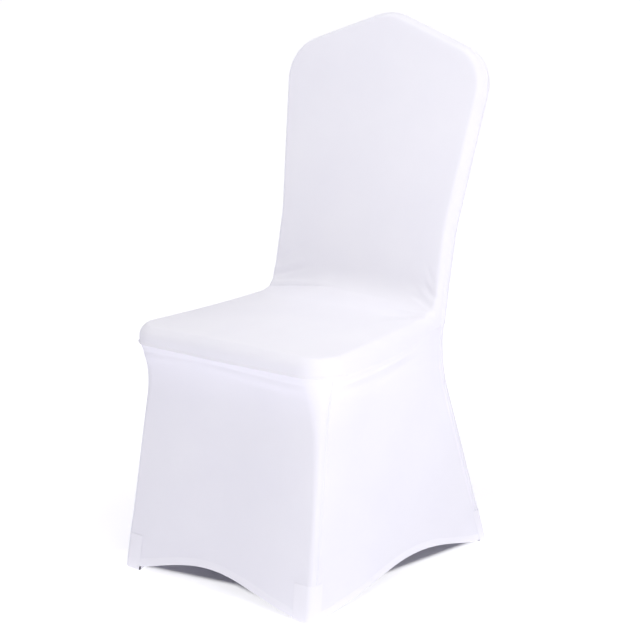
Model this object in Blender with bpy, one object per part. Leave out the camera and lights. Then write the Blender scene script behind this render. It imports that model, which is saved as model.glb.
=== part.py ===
"""Stretch cover for a crown-back banquet chair: a hollow shell of cloth.

The cover is one smooth skin cut along its seams into nine sewn pieces:
the seat and inside-back panel, the outside-back panel, the skirt's front,
left and right panels, and four foot pockets.

Frame: the chair faces -Y, +X is to the right of someone looking at its
front, +Z is up, and the origin is where the chair's seat holds the cover up:
on the cloth's underside in the middle of the seat. The shape is worked out
from the floor up, and moved to that origin at the end. Sizes are in metres.
"""

import math

import bpy
import numpy as np
from mathutils.kdtree import KDTree

OBJECT_NAME = "stretch_chair_cover"

# Where the chair's seat holds the cloth up, as a distance behind the middle.
HOLD_Y = -0.060

# The cloth and the gap at every seam.
CLOTH = 0.002
SEAM_GAP = 0.0003

# The seat, from above. The rim is the seam between the seat and the skirt.
SEAT_HALF_WIDTH = 0.2225
SEAT_FRONT_Y = -0.2375
SEAT_FRONT_BOW = 0.004
SEAT_CORNER_RADIUS = 0.055
RIM_Z = 0.3985
RIM_RISE_TO_BACK = 0.022
SEAT_EDGE_FRONT_Z = 0.431
SEAT_DOME = 0.015

# The crease between the seat and the back, and the back's lean.
CREASE_Y = 0.1048
CREASE_Z = 0.442
CREASE_HALF_WIDTH = 0.1905
CREASE_SOFTNESS_MIDDLE = 0.065
CREASE_SOFTNESS_SIDE = 0.030
BACK_LEAN = math.radians(11.9)
BACK_THICKNESS = 0.039
BACK_BULGE = 0.006

# The outline of the back, with the heights of its virtual corners.
WAIST_HALF_WIDTH = 0.1885
WAIST_LOW_Z = 0.500
WAIST_HIGH_Z = 0.590
SHOULDER_HALF_WIDTH = 0.2215
SHOULDER_Z = 0.877
PEAK_Z = 0.955
SHOULDER_RADIUS = 0.075
PEAK_RADIUS = 0.080

# The rolled edges of the seat and the back.
SEAT_EDGE_RADIUS = 0.020
BACK_EDGE_RADIUS = 0.015

# The front legs, as the skirt shows them.
FRONT_FOOT_X = 0.2110
FRONT_FOOT_Y = -0.2635
FRONT_LEG_RADIUS = 0.012
PULL_IN_Z = 0.310
PULL_IN_X = 0.1975
PULL_IN_Y = -0.2155
SEAM_TURN_AT_RIM = math.radians(62.0)

# The rear legs: the outside back bends out at BEND_Z and runs to the foot.
REAR_FOOT_X = 0.2035
REAR_FOOT_Y = 0.2600
BEND_Z = 0.359
BEND_SOFTNESS = 0.05
REAR_SEAM_SETBACK = 0.019

# The hem: height of the cloth's edge at a foot, and the arches between feet.
HEM_AT_FOOT = 0.0033
FRONT_ARCH, FRONT_ARCH_SKEW = 0.035, 1.14
SIDE_ARCH, SIDE_ARCH_SKEW = 0.031, 1.40
REAR_ARCH, REAR_ARCH_SKEW = 0.036, 1.0
ARCH_POWER = 1.6
HEM_BOW = 0.006

# The foot pockets.
POCKET_HEIGHT = 0.062
POCKET_INNER_HEIGHT = 0.050
POCKET_FRONT_ARM = 0.036
POCKET_SIDE_ARM = 0.042
POCKET_CLEARANCE = 0.0005
POCKET_BEND = 0.003

# How finely the skin is divided.
COLUMNS_ACROSS = 24
COLUMNS_ON_CORNER = 4
ROWS_SEAT = 15
ROWS_BACK = 17
ROWS_SKIRT = 13
ROLL_ANGLES = (0.0, 30.0, 60.0, 90.0)

# Broad soft creases of the seat and the inside back.
# Each runs from (x0, s0) to (x1, s1); s is the distance from the crease,
# less than 0 on the seat and more than 0 up the back.
CREASE_COLUMNS = ("x0", "s0", "x1", "s1", "half_width", "height")
CREASES = (
    (0.176, 0.010, 0.120, -0.070, 0.014, -0.0022),
    (0.182, -0.012, 0.150, -0.110, 0.013, 0.0014),
    (0.178, 0.030, 0.115, 0.055, 0.013, -0.0016),
    (-0.176, 0.004, -0.085, 0.022, 0.016, -0.0026),
    (-0.172, 0.030, -0.110, 0.085, 0.015, -0.0014),
    (-0.180, -0.016, -0.120, -0.085, 0.014, 0.0012),
)

LEAN_SIN, LEAN_COS = math.sin(BACK_LEAN), math.cos(BACK_LEAN)
LEAN_TAN = LEAN_SIN / LEAN_COS


def smooth_step(value):
    """0 below 0, 1 above 1, and a smooth rise between."""
    value = np.clip(value, 0.0, 1.0)
    return value * value * (3.0 - 2.0 * value)


def soft_ramp(value, softness):
    """0 for low values and the value itself for high ones, with a soft bend."""
    middle = (value + softness) ** 2 / (4.0 * softness)
    return np.where(value < -softness, 0.0, np.where(value > softness, value, middle))


def rounded_path(corners, radii, step=0.0004):
    """Points along a line of corners whose inner corners are rounded.

    Returns the points and the place of each rounding, as (start, end) lengths.
    """
    corners = [np.array(corner, float) for corner in corners]
    points = [corners[0]]
    arcs = []
    for before, corner, after, radius in zip(corners, corners[1:], corners[2:], radii):
        back_way = (before - corner) / np.linalg.norm(before - corner)
        on_way = (after - corner) / np.linalg.norm(after - corner)
        half_angle = 0.5 * math.acos(np.clip(back_way @ on_way, -1.0, 1.0))
        reach = radius / math.tan(half_angle)
        start = corner + back_way * reach
        centre_way = (back_way + on_way) / np.linalg.norm(back_way + on_way)
        centre = corner + centre_way * radius / math.sin(half_angle)
        turn = math.pi - 2.0 * half_angle
        side = np.sign(back_way[0] * on_way[1] - back_way[1] * on_way[0])
        first = start - centre
        arc = []
        for angle in np.linspace(0.0, turn, 60):
            cosine, sine = math.cos(angle), -side * math.sin(angle)
            turned = (first[0] * cosine - first[1] * sine, first[0] * sine + first[1] * cosine)
            arc.append(centre + np.array(turned))
        arcs.append((len(points), len(points) + len(arc) - 1))
        points.extend(arc)
    points.append(corners[-1])
    points = np.array(points)
    lengths = path_lengths(points)
    marks = [(lengths[start], lengths[end]) for start, end in arcs]
    wanted = np.linspace(0.0, lengths[-1], int(lengths[-1] / step))
    return at_lengths(points, lengths, wanted), marks


def path_lengths(points):
    steps = np.linalg.norm(np.diff(points, axis=0), axis=1)
    return np.concatenate([[0.0], np.cumsum(steps)])


def at_lengths(points, lengths, wanted):
    axes = range(points.shape[1])
    return np.stack([np.interp(wanted, lengths, points[:, axis]) for axis in axes], axis=-1)


def height_to_s(height):
    """The flat coordinate of a height on the inside back."""
    return CREASE_Y + (height - CREASE_Z) / LEAN_COS


def crease_relief(x, s):
    """Height of the broad creases over the smooth surface."""
    relief = np.zeros_like(x)
    for row in CREASES:
        crease = dict(zip(CREASE_COLUMNS, row))
        start = np.array([crease["x0"], crease["s0"] + CREASE_Y])
        way = np.array([crease["x1"], crease["s1"] + CREASE_Y]) - start
        along = ((x - start[0]) * way[0] + (s - start[1]) * way[1]) / (way @ way)
        aside = ((x - start[0]) * way[1] - (s - start[1]) * way[0]) / math.sqrt(way @ way)
        fade = np.exp(-((aside / crease["half_width"]) ** 2))
        fade = fade * smooth_step((along + 0.25) / 0.4) * smooth_step((1.25 - along) / 0.6)
        relief = relief + crease["height"] * fade
    return relief


def seat_and_back(x, s):
    """The smooth top surface: the seat for low s, then up the inside back."""
    x = np.asarray(x, float)
    s = np.asarray(s, float)
    past_crease = s - CREASE_Y
    across = np.clip(np.abs(x) / 0.20, 0.0, 1.0) ** 2
    softness = CREASE_SOFTNESS_MIDDLE + (CREASE_SOFTNESS_SIDE - CREASE_SOFTNESS_MIDDLE) * across
    forward = soft_ramp(-past_crease, softness)
    upward = soft_ramp(past_crease, softness)
    depth = np.clip((s - SEAT_FRONT_Y) / (CREASE_Y - SEAT_FRONT_Y), 0.0, 1.0)
    seat_share = 1.0 - smooth_step((past_crease + 0.02) / 0.08)
    rise = SEAT_DOME * np.sin(math.pi * (0.03 + 0.80 * depth)) * (1.0 - across)
    slope = (SEAT_EDGE_FRONT_Z - CREASE_Z) * (1.0 - depth**2)
    up_the_back = np.clip(past_crease / (height_to_s(PEAK_Z) - CREASE_Y), 0.0, 1.0)
    bulge = BACK_BULGE * (1.0 - across) * np.sin(math.pi * up_the_back) ** 0.7
    relief = crease_relief(x, s)
    bulge = bulge + relief * (1.0 - seat_share)
    y = CREASE_Y - forward + LEAN_SIN * upward - LEAN_COS * bulge
    z = CREASE_Z + LEAN_COS * upward + LEAN_SIN * bulge + (slope + rise + relief) * seat_share
    return np.stack([x, y, z], axis=-1)


def rim_point(x, s):
    """The seam round the seat's rim and up the middle of the back's side."""
    past_crease = s - CREASE_Y
    half = 0.5 * BACK_THICKNESS
    drop = (CREASE_Z - LEAN_SIN * half - (RIM_Z + RIM_RISE_TO_BACK)) / LEAN_COS
    corner_y = CREASE_Y + LEAN_COS * half - LEAN_SIN * drop
    shift = corner_y - CREASE_Y
    forward = soft_ramp(-past_crease, 0.012)
    upward = soft_ramp(past_crease, 0.012)
    catch_up = drop * smooth_step(past_crease / 0.15)
    y = corner_y - forward + LEAN_SIN * (upward + catch_up)
    y = y - shift * (1.0 - smooth_step((past_crease + 0.20) / 0.15))
    z = RIM_Z + RIM_RISE_TO_BACK * smooth_step((s + 0.07) / 0.17) + LEAN_COS * (upward + catch_up)
    return np.stack([x, y, z], axis=-1)


def back_outline():
    """The right half of the panel's outline, from the front's middle to the peak."""
    corners = (
        (0.0, SEAT_FRONT_Y - SEAT_FRONT_BOW),
        (SEAT_HALF_WIDTH, SEAT_FRONT_Y),
        (CREASE_HALF_WIDTH, CREASE_Y),
        (WAIST_HALF_WIDTH, height_to_s(WAIST_LOW_Z)),
        (WAIST_HALF_WIDTH, height_to_s(WAIST_HIGH_Z)),
        (SHOULDER_HALF_WIDTH, height_to_s(SHOULDER_Z)),
        (0.0, height_to_s(PEAK_Z)),
        (-SHOULDER_HALF_WIDTH, height_to_s(SHOULDER_Z)),
    )
    radii = (SEAT_CORNER_RADIUS, 0.30, 0.30, 0.35, SHOULDER_RADIUS, PEAK_RADIUS)
    points, marks = rounded_path(corners, radii)
    half = points[:, 0] >= 0.0
    return points[half], marks


def outline_loop():
    """The panel's outline as a closed loop of points with outward directions.

    It starts at the left front seam and runs along the front, up the right,
    over the crown and down the left.
    """
    points, marks = back_outline()
    lengths = path_lengths(points)
    corner_start, corner_end = marks[0]
    turn = SEAM_TURN_AT_RIM / (math.pi / 2.0)
    seam = corner_start + (corner_end - corner_start) * turn
    side = (lengths > corner_end) & (lengths < marks[4][0])
    crease = np.interp(CREASE_Y, points[side, 1], lengths[side])
    shoulder = 0.5 * sum(marks[4])
    straight = COLUMNS_ACROSS // 2 - COLUMNS_ON_CORNER
    front = np.concatenate(
        [
            np.linspace(0.0, corner_start, straight + 1)[:-1],
            np.linspace(corner_start, seam, COLUMNS_ON_CORNER + 1),
        ]
    )
    seat_side = seam + (crease - seam) * (1.0 - (1.0 - np.linspace(0, 1, ROWS_SEAT + 1)) ** 1.35)
    back_side = crease + (shoulder - crease) * np.linspace(0, 1, ROWS_BACK + 1) ** 1.3
    crown = np.linspace(shoulder, lengths[-1], COLUMNS_ACROSS // 2 + 1)
    wanted = np.concatenate([front, seat_side[1:], back_side[1:], crown[1:]])
    right = at_lengths(points, lengths, wanted)
    ahead = at_lengths(points, lengths, np.minimum(wanted + 0.001, lengths[-1]))
    behind = at_lengths(points, lengths, np.maximum(wanted - 0.001, 0.0))
    way = ahead - behind
    way /= np.linalg.norm(way, axis=1)[:, None]
    outward = np.stack([way[:, 1], -way[:, 0]], axis=-1)
    outward[0] = (0.0, -1.0)
    outward[-1] = (0.0, 1.0)
    mirror = np.array([-1.0, 1.0])
    seam_place = len(front) - 1
    left = slice(len(right) - 2, 0, -1)
    loop = np.concatenate([right, right[left] * mirror])
    normals = np.concatenate([outward, outward[left] * mirror])
    return np.roll(loop, seam_place, axis=0), np.roll(normals, seam_place, axis=0)


def rolled_edge(seam, corner, inner, reach):
    """Lines of points from a seam round a rolled edge to the face inside it."""
    drop = seam - corner
    length = np.linalg.norm(drop, axis=-1, keepdims=True)
    start = corner + drop * np.minimum(1.0, reach / length)
    lines = [seam]
    for angle in np.radians(ROLL_ANGLES):
        from_start = (start - corner) * (1.0 - math.sin(angle))
        lines.append(corner + from_start + (inner - corner) * (1.0 - math.cos(angle)))
    return lines


def blend(left, right, count):
    share = np.linspace(0.0, 1.0, count)[:, None]
    return left * (1.0 - share) + right * share


def seat_and_back_panel():
    """Inner grid and rolled border of the seat and inside-back panel."""
    across, rows = COLUMNS_ACROSS, ROWS_SEAT + ROWS_BACK
    outline, outward = outline_loop()
    past = smooth_step((outline[:, 1] - CREASE_Y + 0.04) / 0.08)
    radius = (SEAT_EDGE_RADIUS + (BACK_EDGE_RADIUS - SEAT_EDGE_RADIUS) * past)[:, None]
    inner = outline - outward * radius
    front = inner[: across + 1]
    right = inner[across : across + rows + 1]
    crown = inner[across + rows : 2 * across + rows + 1][::-1]
    left = np.concatenate([inner[2 * across + rows :], inner[:1]])[::-1]
    grid = np.empty((rows + 1, across + 1, 2))
    share = (front[:, 0] - front[0, 0]) / (front[-1, 0] - front[0, 0])
    top_share = (crown[:, 0] - crown[0, 0]) / (crown[-1, 0] - crown[0, 0])
    for row in range(rows + 1):
        low = max(0.0, 1.0 - row / ROWS_SEAT)
        high = max(0.0, (row - ROWS_SEAT) / ROWS_BACK)
        mix = (share * (1.0 - row / rows) + top_share * row / rows)[:, None]
        straight = left[row] * (1.0 - mix) + right[row] * mix
        front_line = left[0] * (1.0 - share[:, None]) + right[0] * share[:, None]
        top_line = left[-1] * (1.0 - top_share[:, None]) + right[-1] * top_share[:, None]
        grid[row] = straight + low * (front - front_line) + high * (crown - top_line)
    face = seat_and_back(grid[..., 0], grid[..., 1])
    seam = rim_point(outline[:, 0], outline[:, 1])
    corner = seat_and_back(outline[:, 0], outline[:, 1])
    face_edge = seat_and_back(inner[:, 0], inner[:, 1])
    lines = rolled_edge(seam, corner, face_edge, radius)
    return face, lines, outline, outward


def hem_height(share, arch, skew):
    """Height of the hem along one side, for 0 at one foot and 1 at the next."""
    return HEM_AT_FOOT + arch * np.sin(math.pi * np.clip(share, 0, 1) ** skew) ** ARCH_POWER


def rear_y(z):
    """The rear face's distance back at a height."""
    above = soft_ramp(z - BEND_Z, BEND_SOFTNESS)
    below = soft_ramp(BEND_Z - z, BEND_SOFTNESS)
    bend_y = CREASE_Y + BACK_THICKNESS / LEAN_COS + LEAN_TAN * (BEND_Z - CREASE_Z)
    return bend_y + LEAN_TAN * above + (REAR_FOOT_Y - bend_y) / BEND_Z * below


def skirt_shares():
    """How far down each row of the skirt is, closer together under the rim."""
    return np.linspace(0.0, 1.0, ROWS_SKIRT + 1) ** 1.35


def front_seam(rim, shares):
    """The right front seam, from the rim to the foot."""
    z = rim[2] + (HEM_AT_FOOT - rim[2]) * shares
    down = np.clip((PULL_IN_Z - z) / PULL_IN_Z, 0.0, 1.0)
    above = np.clip((z - PULL_IN_Z) / (rim[2] - PULL_IN_Z), 0.0, 1.0) ** 2.2
    rake = (PULL_IN_Y - FRONT_FOOT_Y) / PULL_IN_Z
    line_x = PULL_IN_X + (FRONT_FOOT_X - PULL_IN_X) * down
    line_y = FRONT_FOOT_Y + FRONT_LEG_RADIUS + rake * z
    rim_line_y = FRONT_FOOT_Y + FRONT_LEG_RADIUS + rake * rim[2]
    x = line_x + (rim[0] - PULL_IN_X) * above
    y = line_y + (rim[1] - rim_line_y) * above
    return np.stack([x, y, z], axis=-1)


def rear_edges(joint, shares):
    """The right rear seam, the rear corner and the rear face's edge below the joint."""
    offset = np.array([0.0, LEAN_COS, -LEAN_SIN]) * 0.5 * BACK_THICKNESS
    top = joint + offset
    z = top[2] + (HEM_AT_FOOT - top[2]) * shares
    x = joint[0] + (REAR_FOOT_X - joint[0]) * shares
    corner = np.stack([x, rear_y(z), z], axis=-1)
    corner[0] = top
    low = shares[:, None]
    seam = corner - offset * (1.0 - low) - np.array([0.0, REAR_SEAM_SETBACK, 0.0]) * low
    inner = corner - np.array([BACK_EDGE_RADIUS, 0.0, 0.0])
    return seam, corner, inner


def skirt_grid(top, foot, left, right, shares, foot_share, slope):
    """A skirt panel between its top line, its foot line and its two seams.

    slope is how far the panel moves in x and y for each metre of height.
    """
    arch = (foot[:, 2] - HEM_AT_FOOT)[:, None] * np.array([slope[0], slope[1], 0.0])
    grid = np.empty((len(shares), len(top), 3))
    for row, down in enumerate(shares):
        near_foot = 1.0 - (1.0 - down) ** 6
        weight = np.array([near_foot, near_foot, down])
        line = top * (1.0 - weight) + foot * weight + arch * down
        left_error = left[row] - line[0]
        right_error = right[row] - line[-1]
        grid[row] = line + left_error * (1.0 - foot_share[:, None]) + right_error * foot_share[:, None]
    return grid


def front_foot_line():
    """The front hem's plan, from the left seam round both legs to the right seam."""
    turn = np.linspace(0.0, math.pi / 2.0, COLUMNS_ON_CORNER + 1)
    centre_x = FRONT_FOOT_X - FRONT_LEG_RADIUS
    straight = np.linspace(0.0, centre_x, COLUMNS_ACROSS // 2 - COLUMNS_ON_CORNER + 1)[:-1]
    x = np.concatenate([straight, centre_x + FRONT_LEG_RADIUS * np.sin(turn)])
    y = np.full_like(x, FRONT_FOOT_Y)
    y[len(straight) :] += FRONT_LEG_RADIUS * (1.0 - np.cos(turn))
    x = np.concatenate([-x[:0:-1], x])
    y = np.concatenate([y[:0:-1], y])
    share = (x + FRONT_FOOT_X) / (2.0 * FRONT_FOOT_X)
    y = y + HEM_BOW * np.sin(math.pi * share) ** 4
    z = hem_height(1.0 - share, FRONT_ARCH, FRONT_ARCH_SKEW)
    return np.stack([x, y, z], axis=-1), share


def side_foot_line(top):
    """The right side's hem, from the front seam to the rear seam."""
    lengths = path_lengths(top)
    share = lengths / lengths[-1]
    first = FRONT_FOOT_Y + FRONT_LEG_RADIUS
    y = first + (REAR_FOOT_Y - REAR_SEAM_SETBACK - first) * share
    x = np.full_like(y, FRONT_FOOT_X) - HEM_BOW * np.sin(math.pi * share) ** 4
    z = hem_height(share, SIDE_ARCH, SIDE_ARCH_SKEW)
    return np.stack([x, y, z], axis=-1), share


def mirrored(points):
    return points * np.array([-1.0, 1.0, 1.0])


def outside_back_panel(outline, outward, seam_ring, shares):
    """Grid and rolled border of the outside back, from the crown to the rear hem."""
    across = COLUMNS_ACROSS
    first = across + ROWS_SEAT
    last = first + 2 * ROWS_BACK + across
    ring = seam_ring[first : last + 1]
    offset = np.array([0.0, LEAN_COS, -LEAN_SIN]) * 0.5 * BACK_THICKNESS
    corner = ring + offset
    way = outward[first : last + 1]
    inward = np.stack([-way[:, 0], -way[:, 1] * LEAN_SIN, -way[:, 1] * LEAN_COS], axis=-1)
    inner = corner + inward * BACK_EDGE_RADIUS
    low_seam, low_corner, low_inner = rear_edges(ring[0], shares)
    inner[0], inner[-1] = low_inner[0], mirrored(low_inner[0])

    def whole(upper, lower):
        right_side = lower[:0:-1]
        return np.concatenate([right_side, upper, mirrored(right_side[::-1])])

    seam = whole(ring, low_seam)
    corner = whole(corner, low_corner)
    inner = whole(inner, low_inner)
    rows = ROWS_BACK + ROWS_SKIRT
    right = inner[: rows + 1]
    crown = inner[rows : rows + across + 1][::-1]
    left = inner[rows + across :][::-1]
    top_share = (crown[:, 0] - crown[0, 0]) / (crown[-1, 0] - crown[0, 0])
    foot_x = blend(left[:1], right[:1], across + 1)[:, 0]
    hem = hem_height((foot_x / foot_x[-1] + 1.0) / 2.0, REAR_ARCH, REAR_ARCH_SKEW)
    grid = np.empty((rows + 1, across + 1, 3))
    for row in range(rows + 1):
        low = max(0.0, 1.0 - row / ROWS_SKIRT)
        high = max(0.0, (row - ROWS_SKIRT) / ROWS_BACK)
        grid[row] = left[row] * (1.0 - top_share[:, None]) + right[row] * top_share[:, None]
        top_line = left[-1] * (1.0 - top_share[:, None]) + right[-1] * top_share[:, None]
        grid[row] += high * (crown - top_line)
        grid[row, :, 2] += low * (hem - HEM_AT_FOOT)
    inside = grid[:, 1:-1]
    width = np.abs(inside[..., 0]) / np.maximum(np.abs(grid[:, :1, 0]), 0.05)
    fullness = np.clip(1.0 - width**2, 0.0, 1.0) ** 2
    height = inside[..., 2]
    swell = 0.004 * smooth_step((height - 0.42) / 0.2) * smooth_step((PEAK_Z - height) / 0.1)
    sink = HEM_BOW * (1.0 - smooth_step(height / 0.34)) * fullness
    inside[..., 1] = rear_y(height) + swell * fullness - sink
    lines = rolled_edge(seam, corner, inner, BACK_EDGE_RADIUS)
    return grid, lines


def pocket_corner(kind, joint, z):
    """The outer virtual corner of a right foot at a height."""
    if kind == "front":
        share = z / PULL_IN_Z
        x = FRONT_FOOT_X + (PULL_IN_X - FRONT_FOOT_X) * share
        return x, FRONT_FOOT_Y + (PULL_IN_Y - FRONT_FOOT_Y) * share
    top_z = joint[2] - LEAN_SIN * 0.5 * BACK_THICKNESS
    x = REAR_FOOT_X + (joint[0] - REAR_FOOT_X) * (z - HEM_AT_FOOT) / (top_z - HEM_AT_FOOT)
    return x, float(rear_y(np.float64(z)))


def pocket_outer_plan(kind, joint, z):
    """The pocket's outer line round a right foot, from the across arm to the side arm."""
    corner_x, corner_y = pocket_corner(kind, joint, z)
    radius = FRONT_LEG_RADIUS if kind == "front" else BACK_EDGE_RADIUS
    inward_y = 1.0 if kind == "front" else -1.0
    out = CLOTH + POCKET_CLEARANCE
    turn = np.linspace(0.0, math.pi / 2.0, 5)
    across = np.linspace(POCKET_FRONT_ARM, radius, 4)[:-1]
    along = np.linspace(radius, POCKET_SIDE_ARM, 5)[1:]
    p = np.concatenate([across, radius - (radius + out) * np.sin(turn), np.full(4, -out)])
    q = np.concatenate([np.full(3, -out), radius - (radius + out) * np.cos(turn), along])
    return np.stack([corner_x - p, corner_y + inward_y * q, np.full_like(p, z)], axis=-1)


def pocket_inner_plan(kind, joint, z):
    """The pocket's inner line, from arm to arm behind the foot."""
    corner_x, corner_y = pocket_corner(kind, joint, z)
    inward_y = 1.0 if kind == "front" else -1.0
    inside = 2.0 * CLOTH + 3.0 * POCKET_CLEARANCE
    first = np.array([POCKET_FRONT_ARM, inside])
    last = np.array([inside, POCKET_SIDE_ARM])
    middle = np.array([POCKET_FRONT_ARM, POCKET_SIDE_ARM])
    share = np.linspace(0.0, 1.0, 12)[:, None]
    curve = first * (1 - share) ** 2 + middle * 2 * share * (1 - share) + last * share**2
    x = corner_x - curve[:, 0]
    y = corner_y + inward_y * curve[:, 1]
    return np.stack([x, y, np.full_like(x, z)], axis=-1)


def pocket_rows(kind, joint):
    """A foot pocket as rows: down its outer wall, across its base and up its inner wall."""
    outer = pocket_outer_plan(kind, joint, POCKET_BEND)
    inner = pocket_inner_plan(kind, joint, POCKET_BEND)
    way = inner - outer
    way /= np.linalg.norm(way, axis=1)[:, None]
    up = np.array([0.0, 0.0, 1.0])
    rows = [pocket_outer_plan(kind, joint, z) for z in (POCKET_HEIGHT, 0.042, 0.022, 0.009, POCKET_BEND)]
    for angle in np.radians((30.0, 60.0, 90.0)):
        rows.append(outer + way * POCKET_BEND * (1 - math.cos(angle)) - up * POCKET_BEND * math.sin(angle))
    first, last = rows[-1], inner - way * POCKET_BEND - up * POCKET_BEND
    rows.append(0.6 * first + 0.4 * last)
    for angle in np.radians((90.0, 60.0, 30.0)):
        rows.append(inner - way * POCKET_BEND * (1 - math.cos(angle)) - up * POCKET_BEND * math.sin(angle))
    for z in (POCKET_BEND, 0.020, POCKET_INNER_HEIGHT):
        rows.append(pocket_inner_plan(kind, joint, z))
    return np.array(rows)


class Piece:
    """One sewn piece: the points and faces of its outer side."""

    def __init__(self, name, points, faces, colour):
        self.name = name
        self.points = np.array(points, float)
        self.faces = [tuple(face) for face in faces]
        self.colour = colour

    def face_normals(self):
        corners = self.points[np.array(self.faces)]
        return np.cross(corners[:, 2] - corners[:, 0], corners[:, 3] - corners[:, 1])

    def turn_towards(self, way):
        if self.face_normals().sum(axis=0) @ np.array(way) < 0.0:
            self.faces = [face[::-1] for face in self.faces]
        return self

    def point_normals(self):
        normals = np.zeros_like(self.points)
        for face, normal in zip(self.faces, self.face_normals()):
            normals[list(face)] += normal
        return normals

    def open_edges(self):
        """The edges that belong to one face only, in that face's order."""
        seen = {}
        for index, face in enumerate(self.faces):
            for start, end in zip(face, face[1:] + face[:1]):
                seen[(start, end)] = index
        return [(edge, index) for edge, index in seen.items() if edge[::-1] not in seen]


def grid_faces(rows, columns):
    faces = []
    for row in range(rows - 1):
        for column in range(columns - 1):
            first = row * columns + column
            faces.append((first, first + 1, first + columns + 1, first + columns))
    return faces


def bordered_piece(name, grid, lines, closed, colour):
    """A grid with lines of points round its edge, as one piece."""
    rows, columns = grid.shape[:2]
    last_row = (rows - 1) * columns
    right = [row * columns + columns - 1 for row in range(rows)]
    top = [last_row + column for column in range(columns - 1, -1, -1)]
    left = [row * columns for row in range(rows - 1, -1, -1)]
    border = right + top[1:] + left[1:]
    if closed:
        border = list(range(columns)) + border[1:-1]
    points = [grid.reshape(-1, 3)]
    faces = grid_faces(rows, columns)
    count = rows * columns
    previous = border
    for line in lines[-2::-1]:
        current = list(range(count, count + len(line)))
        points.append(line)
        count += len(line)
        spans = len(current) if closed else len(current) - 1
        for place in range(spans):
            after = (place + 1) % len(current)
            faces.append((previous[place], current[place], current[after], previous[after]))
        previous = current
    return Piece(name, np.concatenate(points), faces, colour)


def shared_normals(pieces):
    """Each point's normal on the whole skin, so that two pieces agree at a seam."""
    points = np.concatenate([piece.points for piece in pieces])
    own = np.concatenate([piece.point_normals() for piece in pieces])
    tree = KDTree(len(points))
    for index, point in enumerate(points):
        tree.insert(point, index)
    tree.balance()
    normals = np.empty_like(own)
    for index, point in enumerate(points):
        near = [found[1] for found in tree.find_range(point, 1e-5)]
        normals[index] = own[near].sum(axis=0)
    normals /= np.linalg.norm(normals, axis=1)[:, None]
    places = np.cumsum([len(piece.points) for piece in pieces])[:-1]
    return np.split(normals, places)


def inset_edges(piece, normals, distance):
    """Moves the piece's edge inward along its own surface, for the gap at a seam."""
    inward = {}
    for (start, end), _ in piece.open_edges():
        along = piece.points[end] - piece.points[start]
        for point in (start, end):
            step = np.cross(normals[point], along)
            inward.setdefault(point, []).append(step / np.linalg.norm(step))
    for point, steps in inward.items():
        total = sum(steps)
        if len(steps) == 2:
            total = total / max(0.4, 1.0 + steps[0] @ steps[1])
        piece.points[point] += total * distance


def thickened(piece, normals):
    """The closed solid of a piece: its outer side, its inner side and its edge."""
    count = len(piece.points)
    points = np.concatenate([piece.points, piece.points - normals * CLOTH])
    faces = list(piece.faces)
    faces += [tuple(point + count for point in face[::-1]) for face in piece.faces]
    for (start, end), _ in piece.open_edges():
        faces.append((end, start, start + count, end + count))
    return points, faces


def new_material(name, colour, roughness):
    material = bpy.data.materials.new(name)
    material.use_nodes = True
    shader = material.node_tree.nodes["Principled BSDF"]
    shader.inputs["Base Color"].default_value = (*colour, 1.0)
    shader.inputs["Roughness"].default_value = roughness
    material.diffuse_color = (*colour, 1.0)
    return material


def hold_point():
    """The middle of the seat's underside, from the floor up."""
    top = seat_and_back(0.0, HOLD_Y)
    return np.array([0.0, HOLD_Y, top[2] - CLOTH])


def add_object(collection, piece, points, faces):
    mesh = bpy.data.meshes.new(piece.name)
    mesh.from_pydata((points - hold_point()).tolist(), [], faces)
    mesh.update()
    mesh.materials.append(new_material(piece.name + "_cloth", piece.colour, 0.8))
    item = bpy.data.objects.new(piece.name, mesh)
    collection.objects.link(item)
    return item


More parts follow.
